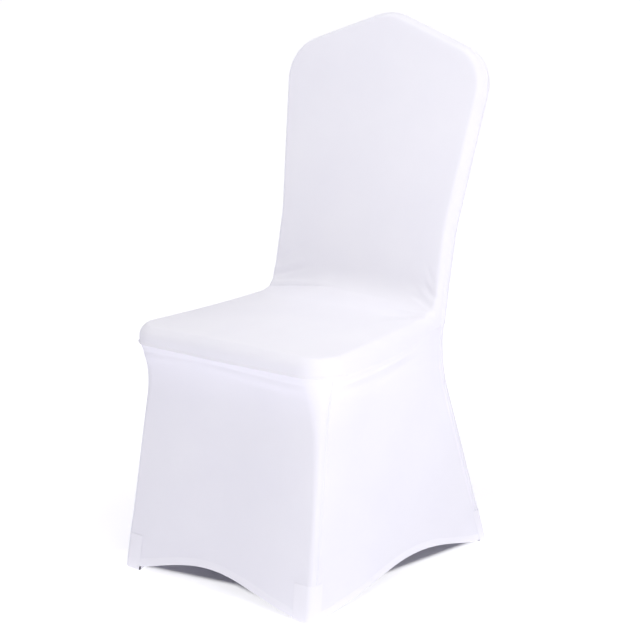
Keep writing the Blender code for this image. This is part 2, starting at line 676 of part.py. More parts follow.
def build():
    for item in list(bpy.data.objects):
        bpy.data.objects.remove(item)
    collection = bpy.data.collections.new(OBJECT_NAME)
    bpy.context.scene.collection.children.link(collection)

    grid, lines, outline, outward = seat_and_back_panel()
    ring = lines[0]
    shares = skirt_shares()
    joint = ring[COLUMNS_ACROSS + ROWS_SEAT]
    right_seam = front_seam(ring[COLUMNS_ACROSS], shares)
    rear_seam = rear_edges(joint, shares)[0]
    foot_line, foot_share = front_foot_line()
    front_top = ring[: COLUMNS_ACROSS + 1]
    front_slope = (0.0, (PULL_IN_Y - FRONT_FOOT_Y) / PULL_IN_Z)
    left_seam = mirrored(right_seam)
    front = skirt_grid(front_top, foot_line, left_seam, right_seam, shares, foot_share, front_slope)
    side_top = ring[COLUMNS_ACROSS : COLUMNS_ACROSS + ROWS_SEAT + 1]
    side_line, side_share = side_foot_line(side_top)
    side_slope = ((PULL_IN_X - FRONT_FOOT_X) / PULL_IN_Z, 0.0)
    side = skirt_grid(side_top, side_line, right_seam, rear_seam, shares, side_share, side_slope)
    rear_grid, rear_lines = outside_back_panel(outline, outward, ring, shares)

    panel_faces = grid_faces(len(shares), front.shape[1])
    side_faces = grid_faces(len(shares), side.shape[1])
    right_points = side.reshape(-1, 3)
    top = bordered_piece("seat_and_inside_back", grid, lines, True, (0.93, 0.93, 0.95))
    rear = bordered_piece("outside_back", rear_grid, rear_lines, False, (0.88, 0.88, 0.92))
    skirt_front = Piece("skirt_front", front.reshape(-1, 3), panel_faces, (0.90, 0.90, 0.93))
    skirt_right = Piece("skirt_right", right_points, side_faces, (0.91, 0.91, 0.94))
    skirt_left = Piece("skirt_left", mirrored(right_points), side_faces, (0.89, 0.89, 0.93))
    skin = [
        top.turn_towards((0, 0, 1)),
        rear.turn_towards((0, 1, 0)),
        skirt_front.turn_towards((0, -1, 0)),
        skirt_right.turn_towards((1, 0, 0)),
        skirt_left.turn_towards((-1, 0, 0)),
    ]
    for piece, normals in zip(skin, shared_normals(skin)):
        inset_edges(piece, normals, 0.5 * SEAM_GAP)
        add_object(collection, piece, *thickened(piece, normals))

    for kind in ("front", "rear"):
        rows = pocket_rows(kind, joint)
        faces = grid_faces(rows.shape[0], rows.shape[1])
        flat_rows = rows.reshape(-1, 3)
        for side_name, points in (("right", flat_rows), ("left", mirrored(flat_rows))):
            name = "foot_pocket_" + kind + "_" + side_name
            piece = Piece(name, points, faces, (0.86, 0.86, 0.91))
            base = piece.point_normals()[points[:, 2] < 1e-6].sum(axis=0)
            if base[2] > 0.0:
                piece.faces = [face[::-1] for face in faces]
            normals = piece.point_normals()
            normals /= np.linalg.norm(normals, axis=1)[:, None]
            normals[points[:, 2] < 1e-6] = (0.0, 0.0, -1.0)
            add_object(collection, piece, *thickened(piece, normals))


build()
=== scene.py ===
"""Fine look of the stretch chair cover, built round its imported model.

The cover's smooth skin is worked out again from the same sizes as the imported
model, much more finely, with the seams, hems and creases that cloth has. It is
worked out from the floor up, with the seat's front towards -Y, and moved into
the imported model's frame at the end. Sizes are in metres.
"""

import math

import bpy
import numpy as np
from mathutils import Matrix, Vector
from mathutils.kdtree import KDTree


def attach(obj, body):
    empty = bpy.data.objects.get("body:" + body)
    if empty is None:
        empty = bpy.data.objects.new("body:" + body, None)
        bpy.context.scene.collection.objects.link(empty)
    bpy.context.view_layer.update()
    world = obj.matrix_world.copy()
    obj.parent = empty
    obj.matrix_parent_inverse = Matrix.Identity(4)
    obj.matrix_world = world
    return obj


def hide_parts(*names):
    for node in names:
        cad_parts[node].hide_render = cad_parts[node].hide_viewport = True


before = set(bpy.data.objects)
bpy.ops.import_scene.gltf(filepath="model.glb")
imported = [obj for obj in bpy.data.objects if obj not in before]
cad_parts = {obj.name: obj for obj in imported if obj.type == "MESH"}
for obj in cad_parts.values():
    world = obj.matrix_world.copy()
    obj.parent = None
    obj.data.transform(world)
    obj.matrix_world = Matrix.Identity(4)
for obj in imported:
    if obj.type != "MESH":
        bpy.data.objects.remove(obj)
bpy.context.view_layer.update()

# The place on the seat's middle line that becomes the frame's origin.
HOLD_Y = -0.060

# The cloth and the gap at every seam.
CLOTH = 0.002
SEAM_GAP = 0.0003

# The seat, from above. The rim is the seam between the seat and the skirt.
SEAT_HALF_WIDTH = 0.2225
SEAT_FRONT_Y = -0.2375
SEAT_FRONT_BOW = 0.004
RIM_Z = 0.3985
RIM_RISE_TO_BACK = 0.022
SEAT_EDGE_FRONT_Z = 0.431
SEAT_DOME = 0.015
SEAT_DOME_START = 0.03
SEAT_DOME_SPAN = 0.80
DOME_HALF_WIDTH = 0.20
RIM_SOFTNESS = 0.012
RIM_RISE_FROM_Y = -0.07
RIM_RISE_LENGTH = 0.17
RIM_TURN = 0.15
RIM_TURN_START = 0.20

# The crease between the seat and the back, and the back's lean.
CREASE_Y = 0.1048
CREASE_Z = 0.442
CREASE_HALF_WIDTH = 0.1905
CREASE_SOFTNESS_MIDDLE = 0.065
CREASE_SOFTNESS_SIDE = 0.030
BACK_LEAN = math.radians(11.9)
BACK_THICKNESS = 0.039
BACK_BULGE = 0.006
BACK_BULGE_POWER = 0.7
OUTSIDE_SWELL = 0.004
OUTSIDE_SWELL_FROM_Z = 0.42
OUTSIDE_SWELL_FADE_LOW = 0.2
OUTSIDE_SWELL_FADE_HIGH = 0.1
NARROWEST_HALF = 0.05
SEAT_ENDS_PAST_CREASE = 0.06
SEAT_TO_BACK_LENGTH = 0.08

# The outline of the back, with the heights of its virtual corners.
WAIST_HALF_WIDTH = 0.1885
WAIST_LOW_Z = 0.500
WAIST_HIGH_Z = 0.590
SHOULDER_HALF_WIDTH = 0.2215
SHOULDER_Z = 0.877
PEAK_Z = 0.9525

# The rounding of the outline's corners, from the seat's front corner by the
# crease, the waist's two ends and the shoulder to the peak.
OUTLINE_RADII = (0.055, 0.30, 0.30, 0.35, 0.075, 0.100)

# The rolled edges of the seat and the back.
SEAT_EDGE_RADIUS = 0.020
BACK_EDGE_RADIUS = 0.015

# The front legs, as the skirt shows them.
FRONT_FOOT_X = 0.2110
FRONT_FOOT_Y = -0.2635
FRONT_LEG_RADIUS = 0.012
PULL_IN_Z = 0.310
PULL_IN_X = 0.1975
PULL_IN_Y = -0.2155
PULL_IN_POWER = 2.2
FOOT_PLAN_POWER = 6
SEAM_TURN_AT_RIM = math.radians(62.0)

# The rear legs: the outside back bends out at BEND_Z and runs to the foot.
REAR_FOOT_X = 0.2035
REAR_FOOT_Y = 0.2600
BEND_Z = 0.359
BEND_SOFTNESS = 0.05
REAR_SEAM_SETBACK = 0.019
JOINT_BLEND = 0.08

# The hem: height of the cloth's edge at a foot, and the arches between feet.
HEM_AT_FOOT = 0.0033
FRONT_ARCH, FRONT_ARCH_SKEW = 0.035, 1.14
SIDE_ARCH, SIDE_ARCH_SKEW = 0.031, 1.40
REAR_ARCH, REAR_ARCH_SKEW = 0.036, 1.0
ARCH_POWER = 1.6
HEM_BOW = 0.006
HEM_BOW_POWER = 4
HEM_BOW_REAR_END_Z = 0.34
HEM_DEPTH = 0.013
HEM_HEIGHTS_END = 0.045
HEM_STEP = 0.0005
HEM_STEP_LENGTH = 0.0016
HEM_STITCH_DEPTH = 0.0003
HEM_STITCH_PLACE = 0.0020
HEM_STITCH_HALF = 0.0008
HEM_ROUND = 0.0007

# A sewn seam: a groove at the seam and a ridge beside it. Round the seat's rim
# the ridge stands over the skirt, which starts a little further in.
SEAM_RIDGE_PLACE = 0.0028
SEAM_RIDGE_HALF = 0.0016
SEAM_GROOVE = 0.0018
SEAM_GROOVE_HALF = 0.0011
RIM_RIDGE = 0.0019
RIM_RIDGE_PLACE = 0.0019
RIM_RIDGE_HALF = 0.0019
RIM_RECESS = 0.0010
RIM_RECESS_HALF = 0.010
SOFT_SEAM_FROM_Y = -0.20
SOFT_SEAM_TO_Y = 0.13
SOFT_SEAM_LOSS = 0.75
SOFT_SEAM_FADE_FRONT = 0.05
SOFT_SEAM_FADE_REAR = 0.04
BACK_SEAM_RIDGE = 0.0010
SKIRT_SEAM_RIDGE = 0.0011
SKIRT_SEAM_FROM = 0.012
SKIRT_SEAM_FADE = 0.03

# A soft ridge where the seat and the back turn over into their sides.
EDGE_RIDGE = 0.0008
EDGE_RIDGE_PLACE = 0.008
EDGE_RIDGE_HALF = 0.0038

# Slow waves in the cloth, which fade out towards the seams. Each row gives the
# turns for a metre of x, y and z and the start, in radians.
WAVES = 0.0004
WAVES_OUTSIDE_BACK = 0.0005
WAVES_FADE = 0.02
WAVE_TABLE = ((23.0, 0.0, 17.0, 0.6), (-19.0, 31.0, 0.0, 2.1), (0.0, -13.0, 27.0, 4.0))

# The foot pockets.
POCKET_HEIGHT = 0.062
POCKET_INNER_HEIGHT = 0.050
POCKET_FRONT_ARM = 0.036
POCKET_CLEARANCE = 0.0005
POCKET_BEND = 0.003
PATCH_CLOTH = 0.0006
PATCH_CLEARANCE = 0.0003
PATCH_STEP = PATCH_CLOTH + PATCH_CLEARANCE
PATCH_SIDE_ARM = 0.026
PATCH_TOP_STEPS = (0.0, 0.0008, 0.0018, 0.0030, 0.0045)
PATCH_TOP_LENGTH = 0.007
PATCH_SMOOTH_FROM = 0.001
PATCH_SMOOTH_LENGTH = 0.006

# Above a front patch the cloth comes out to the patch's own level.
LEVEL_ACROSS, LEVEL_ACROSS_FADE = 0.020, 0.016
LEVEL_BACK = 0.030
LEVEL_EDGE = 0.0015
LEVEL_HEIGHT = 0.04

# How finely the skin is divided.
PATH_STEP = 0.0004
ARC_POINTS = 60
GRADING = 0.80
COLUMNS_ACROSS = 128
COLUMNS_ON_CORNER = 22
ROWS_SEAT = 84
ROWS_BACK = 100
ROWS_SKIRT = 96
BAND_SHARES = (0.0, 0.05, 0.11, 0.18, 0.26, 0.35, 0.45, 0.57, 0.70, 0.85)
ROLL_ANGLES = np.linspace(0.0, 90.0, 13)
BACK_ROW_POWER = 1.3
POCKET_ACROSS_POINTS = 12
POCKET_TURN_POINTS = 17
POCKET_ALONG_POINTS = 16
POCKET_WALL_ROWS = 20
POCKET_INNER_ROWS = 12
POCKET_BEND_ANGLES = np.radians(np.linspace(15.0, 90.0, 6))
POCKET_BASE_SHARES = (0.2, 0.4, 0.6, 0.8)
OUTLINE_STEP = 0.001
SAME_PLACE = 1e-5
ON_THE_FLOOR = 1e-6
FAR = 1.0
LEAST_EDGE_TURN = 0.4
SHARP_ANGLE = math.radians(50.0)

# A crease in the cloth runs from (u0, v0) to (u1, v1). It fades in before its
# start and out past its end, by shares of its length. The tables below give
# u0, v0, u1, v1, half the width and the height of each.
CREASE_OVERRUN = 0.25
CREASE_FADE_IN = 0.4
CREASE_FADE_OUT = 0.6

# Creases of the seat and the inside back, from the broad ones to the fine.
# Here u is x, and v is the distance from the crease between the seat and the
# back, less than 0 on the seat and more than 0 up the back.
SEAT_AND_BACK_CREASES = (
    (0.176, 0.010, 0.120, -0.070, 0.014, -0.0022),
    (0.182, -0.012, 0.150, -0.110, 0.013, 0.0014),
    (0.178, 0.030, 0.115, 0.055, 0.013, -0.0016),
    (-0.176, 0.004, -0.085, 0.022, 0.016, -0.0026),
    (-0.172, 0.030, -0.110, 0.085, 0.015, -0.0014),
    (-0.180, -0.016, -0.120, -0.085, 0.014, 0.0012),
    (0.188, 0.004, 0.138, 0.026, 0.0055, -0.0016),
    (0.188, 0.014, 0.142, 0.046, 0.0045, 0.0015),
    (0.188, 0.018, 0.150, 0.060, 0.0040, -0.0013),
    (0.188, -0.008, 0.132, -0.022, 0.0050, 0.0015),
    (0.187, -0.018, 0.128, -0.052, 0.0055, -0.0015),
    (0.187, 0.034, 0.156, 0.084, 0.0045, -0.0010),
    (0.186, -0.034, 0.146, -0.096, 0.0060, 0.0010),
    (-0.192, -0.004, -0.045, 0.004, 0.0030, -0.0030),
    (-0.192, 0.006, -0.100, 0.014, 0.0038, 0.0016),
    (-0.189, 0.020, -0.108, 0.046, 0.0045, -0.0016),
    (-0.188, 0.034, -0.100, 0.064, 0.0045, 0.0014),
    (-0.188, 0.050, -0.112, 0.088, 0.0050, -0.0013),
    (-0.188, -0.020, -0.136, -0.048, 0.0060, -0.0008),
)

# Creases of the skirt's panels. Here u is a share of the way along the panel,
# and v is the drop below the rim seam.
FRONT_CREASES = (
    (0.52, 0.013, 0.93, 0.016, 0.0040, -0.0010),
    (0.44, 0.022, 0.90, 0.027, 0.0055, 0.0010),
    (0.30, 0.012, 0.60, 0.010, 0.0040, -0.0007),
    (0.07, 0.014, 0.34, 0.011, 0.0045, -0.0009),
    (0.04, 0.026, 0.24, 0.020, 0.0060, 0.0008),
    (0.60, 0.036, 0.92, 0.046, 0.0080, -0.0008),
)
SIDE_CREASES = (
    (0.04, 0.010, 0.62, 0.009, 0.0050, 0.0010),
    (0.10, 0.020, 0.78, 0.017, 0.0050, -0.0014),
    (0.03, 0.030, 0.60, 0.029, 0.0065, 0.0012),
    (0.40, 0.012, 0.95, 0.028, 0.0055, -0.0013),
    (0.36, 0.040, 0.94, 0.018, 0.0075, 0.0011),
    (0.05, 0.046, 0.42, 0.056, 0.0090, -0.0009),
    (0.62, 0.050, 0.97, 0.066, 0.0090, -0.0009),
)
LEFT_CREASES = SIDE_CREASES[1:5]

# The camera, fitted to the photograph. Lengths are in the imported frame.
CAMERA_PLACE = (1.8711, -2.2126, 0.6630)
CAMERA_TARGET = (0.0284, 0.0467, -0.0136)
CAMERA_LENS_MM = 97.784
SENSOR_MM = 36.0

# The colours of the knit, the doubled hem and the patches: a lighter and a darker tone, mixed at random.
# The hem's whites are lighter than the knit's, partly for the doubled cloth and partly as painted light,
# the brightness the hem catches from the floor below.
COVER_WHITES = ((0.900, 0.892, 0.950), (0.880, 0.872, 0.938))
HEM_WHITES_WITH_PAINTED_LIGHT = ((0.930, 0.922, 0.975), (0.918, 0.910, 0.968))
PATCH_WHITES = ((0.925, 0.917, 0.970), (0.912, 0.904, 0.962))
COVER_RIBS = 420.0
PATCH_RIBS = 260.0

# The floor gives off light, a painted glow that ends in pure white away from the cover. The levels go with
# the distance from the middle of the cover's plan, where FLOOR_EDGE is its edge. Inside it the glow stops,
# a painted shadow under the cover, but for a glowing strip along the hem, which is narrower towards the
# feet.
FLOOR_WHITE = (0.885, 0.88, 0.96, 1.0)
FLOOR_GAP = 0.0003
FLOOR_EDGE = 0.25
FLOOR_CORNER_SOFTNESS = 0.03
FLOOR_CORNER_REACH = 0.15
FLOOR_HALF = 40.0
FLOOR_PLAN_CENTRE_Y = 0.058
FLOOR_PLAN_HALF = (0.211, 0.262)
FLOOR_GLOW_AND_PAINTED_SHADOW = (
    (0.0, 0.0),
    (0.187, 0.0),
    (0.200, 0.70),
    (0.212, 0.68),
    (0.235, 0.56),
    (0.25, 0.42),
    (0.30, 0.29),
    (0.45, 0.24),
    (0.70, 0.31),
    (1.0, 0.50),
)

# The light that comes from all round: white at the horizon, to go on from the
# floor, then from dark to light with the height that it comes from.
SKY_LEVELS = ((0.0, 1.0), (0.025, 1.0), (0.06, 0.06), (1.0, 1.0))
SKY_STRENGTH = 0.885
SKY_GREEN = 0.99

# The soft lamps, as disks: name, place, target, size, power and colour.
LAMPS = (
    ("overhead", (0.2, 0.0, 2.8), (0.0, 0.0, 0.0), 1.6, 22.6, (1.0, 1.0, 1.0)),
    ("right_high", (1.6, -1.3, 2.1), (0.0, 0.0, 0.0), 1.2, 7.6, (1.0, 0.99, 0.98)),
    ("right_side", (1.9, 0.1, 0.3), (0.0, 0.0, 0.0), 1.0, 3.1, (1.0, 0.99, 0.98)),
    ("right_near", (1.05, -0.75, 0.32), (0.1, -0.1, 0.0), 0.6, 2.6, (1.0, 0.99, 0.97)),
)

FRONT_FOOT_RAKE = (PULL_IN_Y - FRONT_FOOT_Y) / PULL_IN_Z
LEAN_SIN, LEAN_COS = math.sin(BACK_LEAN), math.cos(BACK_LEAN)
LEAN_TAN = LEAN_SIN / LEAN_COS
HALF_THROUGH_BACK = np.array([0.0, LEAN_COS, -LEAN_SIN]) * 0.5 * BACK_THICKNESS


def smooth_step(value):
    """0 below 0, 1 above 1, and a smooth rise between."""
    value = np.clip(value, 0.0, 1.0)
    return value * value * (3.0 - 2.0 * value)


def soft_ramp(value, softness):
    """0 for low values and the value itself for high ones, with a soft bend."""
    middle = (value + softness) ** 2 / (4.0 * softness)
    return np.where(value < -softness, 0.0, np.where(value > softness, value, middle))


def bump(value, half_width):
    """1 at 0, and smoothly down to nothing past half_width."""
    return np.exp(-((value / half_width) ** 2))


def between(first, last, share):
    """What lies at a share of the way from first to last."""
    return first * (1.0 - share) + last * share


def unit(vectors):
    return vectors / np.linalg.norm(vectors, axis=-1, keepdims=True)


def graded(count, both_ends):
    """count + 1 shares from 0 to 1, closer together at both ends or at the far one only."""
    share = np.linspace(0.0, 1.0, count + 1)
    if both_ends:
        return share - GRADING * np.sin(2.0 * math.pi * share) / (2.0 * math.pi)
    return share + GRADING * np.sin(math.pi * share) / math.pi


def rounded_path(corners, radii):
    """Points along a line of corners whose inner corners are rounded.

    Returns the points and the place of each rounding, as (start, end) lengths.
    """
    corners = [np.array(corner, float) for corner in corners]
    points = [corners[0]]
    arcs = []
    for before, corner, after, radius in zip(corners, corners[1:], corners[2:], radii):
        back_way, on_way = unit(before - corner), unit(after - corner)
        half_angle = 0.5 * math.acos(np.clip(back_way @ on_way, -1.0, 1.0))
        reach = radius / math.tan(half_angle)
        start = corner + back_way * reach
        centre = corner + unit(back_way + on_way) * radius / math.sin(half_angle)
        turn = math.pi - 2.0 * half_angle
        side = np.sign(back_way[0] * on_way[1] - back_way[1] * on_way[0])
        first = start - centre
        arc = []
        for angle in np.linspace(0.0, turn, ARC_POINTS):
            cosine, sine = math.cos(angle), -side * math.sin(angle)
            turned = (first[0] * cosine - first[1] * sine, first[0] * sine + first[1] * cosine)
            arc.append(centre + np.array(turned))
        arcs.append((len(points), len(points) + len(arc) - 1))
        points.extend(arc)
    points.append(corners[-1])
    points = np.array(points)
    lengths = path_lengths(points)
    marks = [(lengths[start], lengths[end]) for start, end in arcs]
    wanted = np.linspace(0.0, lengths[-1], int(lengths[-1] / PATH_STEP))
    return at_lengths(points, lengths, wanted), marks


def path_lengths(points):
    steps = np.linalg.norm(np.diff(points, axis=0), axis=-1)
    return np.concatenate([np.zeros_like(steps[:1]), np.cumsum(steps, axis=0)])


def at_lengths(points, lengths, wanted):
    axes = range(points.shape[1])
    return np.stack([np.interp(wanted, lengths, points[:, axis]) for axis in axes], axis=-1)


def height_to_s(height):
    """The flat coordinate of a height on the inside back."""
    return CREASE_Y + (height - CREASE_Z) / LEAN_COS


def crease_line(u, v, start, end, half_width, height):
    """Relief of one soft crease from start to end, in the coordinates u and v."""
    way = np.array(end) - np.array(start)
    along = ((u - start[0]) * way[0] + (v - start[1]) * way[1]) / (way @ way)
    aside = ((u - start[0]) * way[1] - (v - start[1]) * way[0]) / math.sqrt(way @ way)
    ends = smooth_step((along + CREASE_OVERRUN) / CREASE_FADE_IN)
    ends = ends * smooth_step((1.0 + CREASE_OVERRUN - along) / CREASE_FADE_OUT)
    return height * bump(aside, half_width) * ends


def crease_relief(u, v, creases, u_scale=1.0):
    """Relief of a table of creases, in the coordinates u and v."""
    relief = np.zeros_like(v)
    for u0, v0, u1, v1, half_width, height in creases:
        start, end = (u0 * u_scale, v0), (u1 * u_scale, v1)
        relief = relief + crease_line(u, v, start, end, half_width, height)
    return relief


def seat_levels(depth):
    """The seat's slope and the rise of its dome, for 0 at its front and 1 at the crease."""
    rise = SEAT_DOME * np.sin(math.pi * (SEAT_DOME_START + SEAT_DOME_SPAN * depth))
    slope = (SEAT_EDGE_FRONT_Z - CREASE_Z) * (1.0 - depth**2)
    return slope, rise


def seat_and_back(x, s):
    """The smooth top surface: the seat for low s, then up the inside back."""
    past_crease = s - CREASE_Y
    across = np.clip(np.abs(x) / DOME_HALF_WIDTH, 0.0, 1.0) ** 2
    softness = between(CREASE_SOFTNESS_MIDDLE, CREASE_SOFTNESS_SIDE, across)
    forward = soft_ramp(-past_crease, softness)
    upward = soft_ramp(past_crease, softness)
    depth = np.clip((s - SEAT_FRONT_Y) / (CREASE_Y - SEAT_FRONT_Y), 0.0, 1.0)
    seat_share = smooth_step((SEAT_ENDS_PAST_CREASE - past_crease) / SEAT_TO_BACK_LENGTH)
    slope, rise = seat_levels(depth)
    rise = rise * (1.0 - across)
    up_the_back = np.clip(past_crease / (height_to_s(PEAK_Z) - CREASE_Y), 0.0, 1.0)
    bulge = BACK_BULGE * (1.0 - across) * np.sin(math.pi * up_the_back) ** BACK_BULGE_POWER
    relief = crease_relief(x, past_crease, SEAT_AND_BACK_CREASES)
    bulge = bulge + relief * (1.0 - seat_share)
    y = CREASE_Y - forward + LEAN_SIN * upward - LEAN_COS * bulge
    z = CREASE_Z + LEAN_COS * upward + LEAN_SIN * bulge + (slope + rise + relief) * seat_share
    return np.stack([x, y, z], axis=-1)


def rim_point(x, s):
    """The seam round the seat's rim and up the middle of the back's side."""
    past_crease = s - CREASE_Y
    half = 0.5 * BACK_THICKNESS
    drop = (CREASE_Z - LEAN_SIN * half - (RIM_Z + RIM_RISE_TO_BACK)) / LEAN_COS
    corner_y = CREASE_Y + LEAN_COS * half - LEAN_SIN * drop
    forward = soft_ramp(-past_crease, RIM_SOFTNESS)
    upward = soft_ramp(past_crease, RIM_SOFTNESS)
    catch_up = drop * smooth_step(past_crease / RIM_TURN)
    y = corner_y - forward + LEAN_SIN * (upward + catch_up)
    to_front = 1.0 - smooth_step((past_crease + RIM_TURN_START) / RIM_TURN)
    y = y - (corner_y - CREASE_Y) * to_front
    rise = RIM_RISE_TO_BACK * smooth_step((s - RIM_RISE_FROM_Y) / RIM_RISE_LENGTH)
    z = RIM_Z + rise + LEAN_COS * (upward + catch_up)
    return np.stack([x, y, z], axis=-1)


def back_outline():
    """The right half of the panel's outline, from the front's middle to the peak."""
    corners = (
        (0.0, SEAT_FRONT_Y - SEAT_FRONT_BOW),
        (SEAT_HALF_WIDTH, SEAT_FRONT_Y),
        (CREASE_HALF_WIDTH, CREASE_Y),
        (WAIST_HALF_WIDTH, height_to_s(WAIST_LOW_Z)),
        (WAIST_HALF_WIDTH, height_to_s(WAIST_HIGH_Z)),
        (SHOULDER_HALF_WIDTH, height_to_s(SHOULDER_Z)),
        (0.0, height_to_s(PEAK_Z)),
        (-SHOULDER_HALF_WIDTH, height_to_s(SHOULDER_Z)),
    )
    points, marks = rounded_path(corners, OUTLINE_RADII)
    half = points[:, 0] >= 0.0
    return points[half], marks


def outline_loop():
    """The panel's outline as a closed loop of points with outward directions.

    It starts at the left front seam and runs along the front, up the right,
    over the crown and down the left.
    """
    points, marks = back_outline()
    lengths = path_lengths(points)
    corner_start, corner_end = marks[0]
    seam = between(corner_start, corner_end, SEAM_TURN_AT_RIM / (math.pi / 2.0))
    side = (lengths > corner_end) & (lengths < marks[4][0])
    crease = np.interp(CREASE_Y, points[side, 1], lengths[side])
    shoulder = 0.5 * sum(marks[4])
    straight = COLUMNS_ACROSS // 2 - COLUMNS_ON_CORNER
    front = np.linspace(0.0, corner_start, straight + 1)[:-1]
    front = np.concatenate([front, between(corner_start, seam, graded(COLUMNS_ON_CORNER, False))])
    seat_side = between(seam, crease, graded(ROWS_SEAT, True))
    back_side = between(crease, shoulder, np.linspace(0, 1, ROWS_BACK + 1) ** BACK_ROW_POWER)
    crown = np.linspace(shoulder, lengths[-1], COLUMNS_ACROSS // 2 + 1)
    wanted = np.concatenate([front, seat_side[1:], back_side[1:], crown[1:]])
    right = at_lengths(points, lengths, wanted)
    ahead = at_lengths(points, lengths, np.minimum(wanted + OUTLINE_STEP, lengths[-1]))
    behind = at_lengths(points, lengths, np.maximum(wanted - OUTLINE_STEP, 0.0))
    way = unit(ahead - behind)
    outward = np.stack([way[:, 1], -way[:, 0]], axis=-1)
    outward[0] = (0.0, -1.0)
    outward[-1] = (0.0, 1.0)
    mirror = np.array([-1.0, 1.0])
    seam_place = len(front) - 1
    left = slice(len(right) - 2, 0, -1)
    loop = np.concatenate([right, right[left] * mirror])
    normals = np.concatenate([outward, outward[left] * mirror])
    return np.roll(loop, seam_place, axis=0), np.roll(normals, seam_place, axis=0)


def rolled_edge(seam, corner, inner, reach):
    """Lines of points from a seam round a rolled edge to the face inside it."""
    drop = seam - corner
    length = np.linalg.norm(drop, axis=-1, keepdims=True)
    start = corner + drop * np.minimum(1.0, reach / length)
    lines = [between(seam, start, share) for share in BAND_SHARES]
    for angle in np.radians(ROLL_ANGLES):
        from_start = (start - corner) * (1.0 - math.sin(angle))
        lines.append(corner + from_start + (inner - corner) * (1.0 - math.cos(angle)))
    return lines


def shares_in_x(line):
    """How far across each point of a line lies, from 0 to 1, as a column."""
    return ((line[:, 0] - line[0, 0]) / (line[-1, 0] - line[0, 0]))[:, None]


def seat_and_back_panel():
    """Inner grid and rolled border of the seat and inside-back panel, with its outward ways."""
    across, rows = COLUMNS_ACROSS, ROWS_SEAT + ROWS_BACK
    outline, outward = outline_loop()
    past = smooth_step(0.5 + (outline[:, 1] - CREASE_Y) / SEAT_TO_BACK_LENGTH)
    radius = between(SEAT_EDGE_RADIUS, BACK_EDGE_RADIUS, past)[:, None]
    inner = outline - outward * radius
    front = inner[: across + 1]
    right = inner[across : across + rows + 1]
    crown = inner[across + rows : 2 * across + rows + 1][::-1]
    left = np.concatenate([inner[2 * across + rows :], inner[:1]])[::-1]
    grid = np.empty((rows + 1, across + 1, 2))
    share, top_share = shares_in_x(front), shares_in_x(crown)
    front_line = between(left[0], right[0], share)
    top_line = between(left[-1], right[-1], top_share)
    for row in range(rows + 1):
        low = max(0.0, 1.0 - row / ROWS_SEAT)
        high = max(0.0, (row - ROWS_SEAT) / ROWS_BACK)
        straight = between(left[row], right[row], between(share, top_share, row / rows))
        grid[row] = straight + low * (front - front_line) + high * (crown - top_line)
    face = seat_and_back(grid[..., 0], grid[..., 1])
    seam = rim_point(outline[:, 0], outline[:, 1])
    corner = seat_and_back(outline[:, 0], outline[:, 1])
    face_edge = seat_and_back(inner[:, 0], inner[:, 1])
    lines = rolled_edge(seam, corner, face_edge, radius)
    return face, lines, outward


def hem_height(share, arch, skew):
    """Height of the hem along one side, for 0 at one foot and 1 at the next."""
    return HEM_AT_FOOT + arch * np.sin(math.pi * np.clip(share, 0, 1) ** skew) ** ARCH_POWER


def rear_y(z):
    """The rear face's distance back at a height."""
    above = soft_ramp(z - BEND_Z, BEND_SOFTNESS)
    below = soft_ramp(BEND_Z - z, BEND_SOFTNESS)
    bend_y = CREASE_Y + BACK_THICKNESS / LEAN_COS + LEAN_TAN * (BEND_Z - CREASE_Z)
    return bend_y + LEAN_TAN * above + (REAR_FOOT_Y - bend_y) / BEND_Z * below


def front_seam(rim, shares):
    """The right front seam, from the rim to the foot."""
    z = between(rim[2], HEM_AT_FOOT, shares)
    down = np.clip((PULL_IN_Z - z) / PULL_IN_Z, 0.0, 1.0)
    above = np.clip((z - PULL_IN_Z) / (rim[2] - PULL_IN_Z), 0.0, 1.0) ** PULL_IN_POWER
    line_x = between(PULL_IN_X, FRONT_FOOT_X, down)
    line_y = FRONT_FOOT_Y + FRONT_LEG_RADIUS + FRONT_FOOT_RAKE * z
    rim_line_y = FRONT_FOOT_Y + FRONT_LEG_RADIUS + FRONT_FOOT_RAKE * rim[2]
    x = line_x + (rim[0] - PULL_IN_X) * above
    y = line_y + (rim[1] - rim_line_y) * above
    return np.stack([x, y, z], axis=-1)


def rear_edges(joint, shares):
    """The right rear seam, the rear corner and the rear face's edge below the joint."""
    top = joint + HALF_THROUGH_BACK
    z = between(top[2], HEM_AT_FOOT, shares)
    x = between(joint[0], REAR_FOOT_X, shares)
    step = top[1] - rear_y(top[2])
    y = rear_y(z) + step * (1.0 - smooth_step((top[2] - z) / JOINT_BLEND))
    corner = np.stack([x, y, z], axis=-1)
    low = shares[:, None]
    seam = corner - between(HALF_THROUGH_BACK, np.array([0.0, REAR_SEAM_SETBACK, 0.0]), low)
    inner = corner - np.array([BACK_EDGE_RADIUS, 0.0, 0.0])
    return seam, corner, inner


def skirt_grid(top, foot, left, right, shares, foot_share, slope):
    """A skirt panel between its top line, its foot line and its two seams.

    slope is how far the panel moves in x and y for each metre of height.
    """
    arch = (foot[:, 2] - HEM_AT_FOOT)[:, None] * np.array([slope[0], slope[1], 0.0])
    grid = np.empty((len(shares), len(top), 3))
    for row, down in enumerate(shares):
        near_foot = 1.0 - (1.0 - down) ** FOOT_PLAN_POWER
        weight = np.array([near_foot, near_foot, down])
        line = between(top, foot, weight) + arch * down
        grid[row] = line + between(left[row] - line[0], right[row] - line[-1], foot_share[:, None])
    return grid


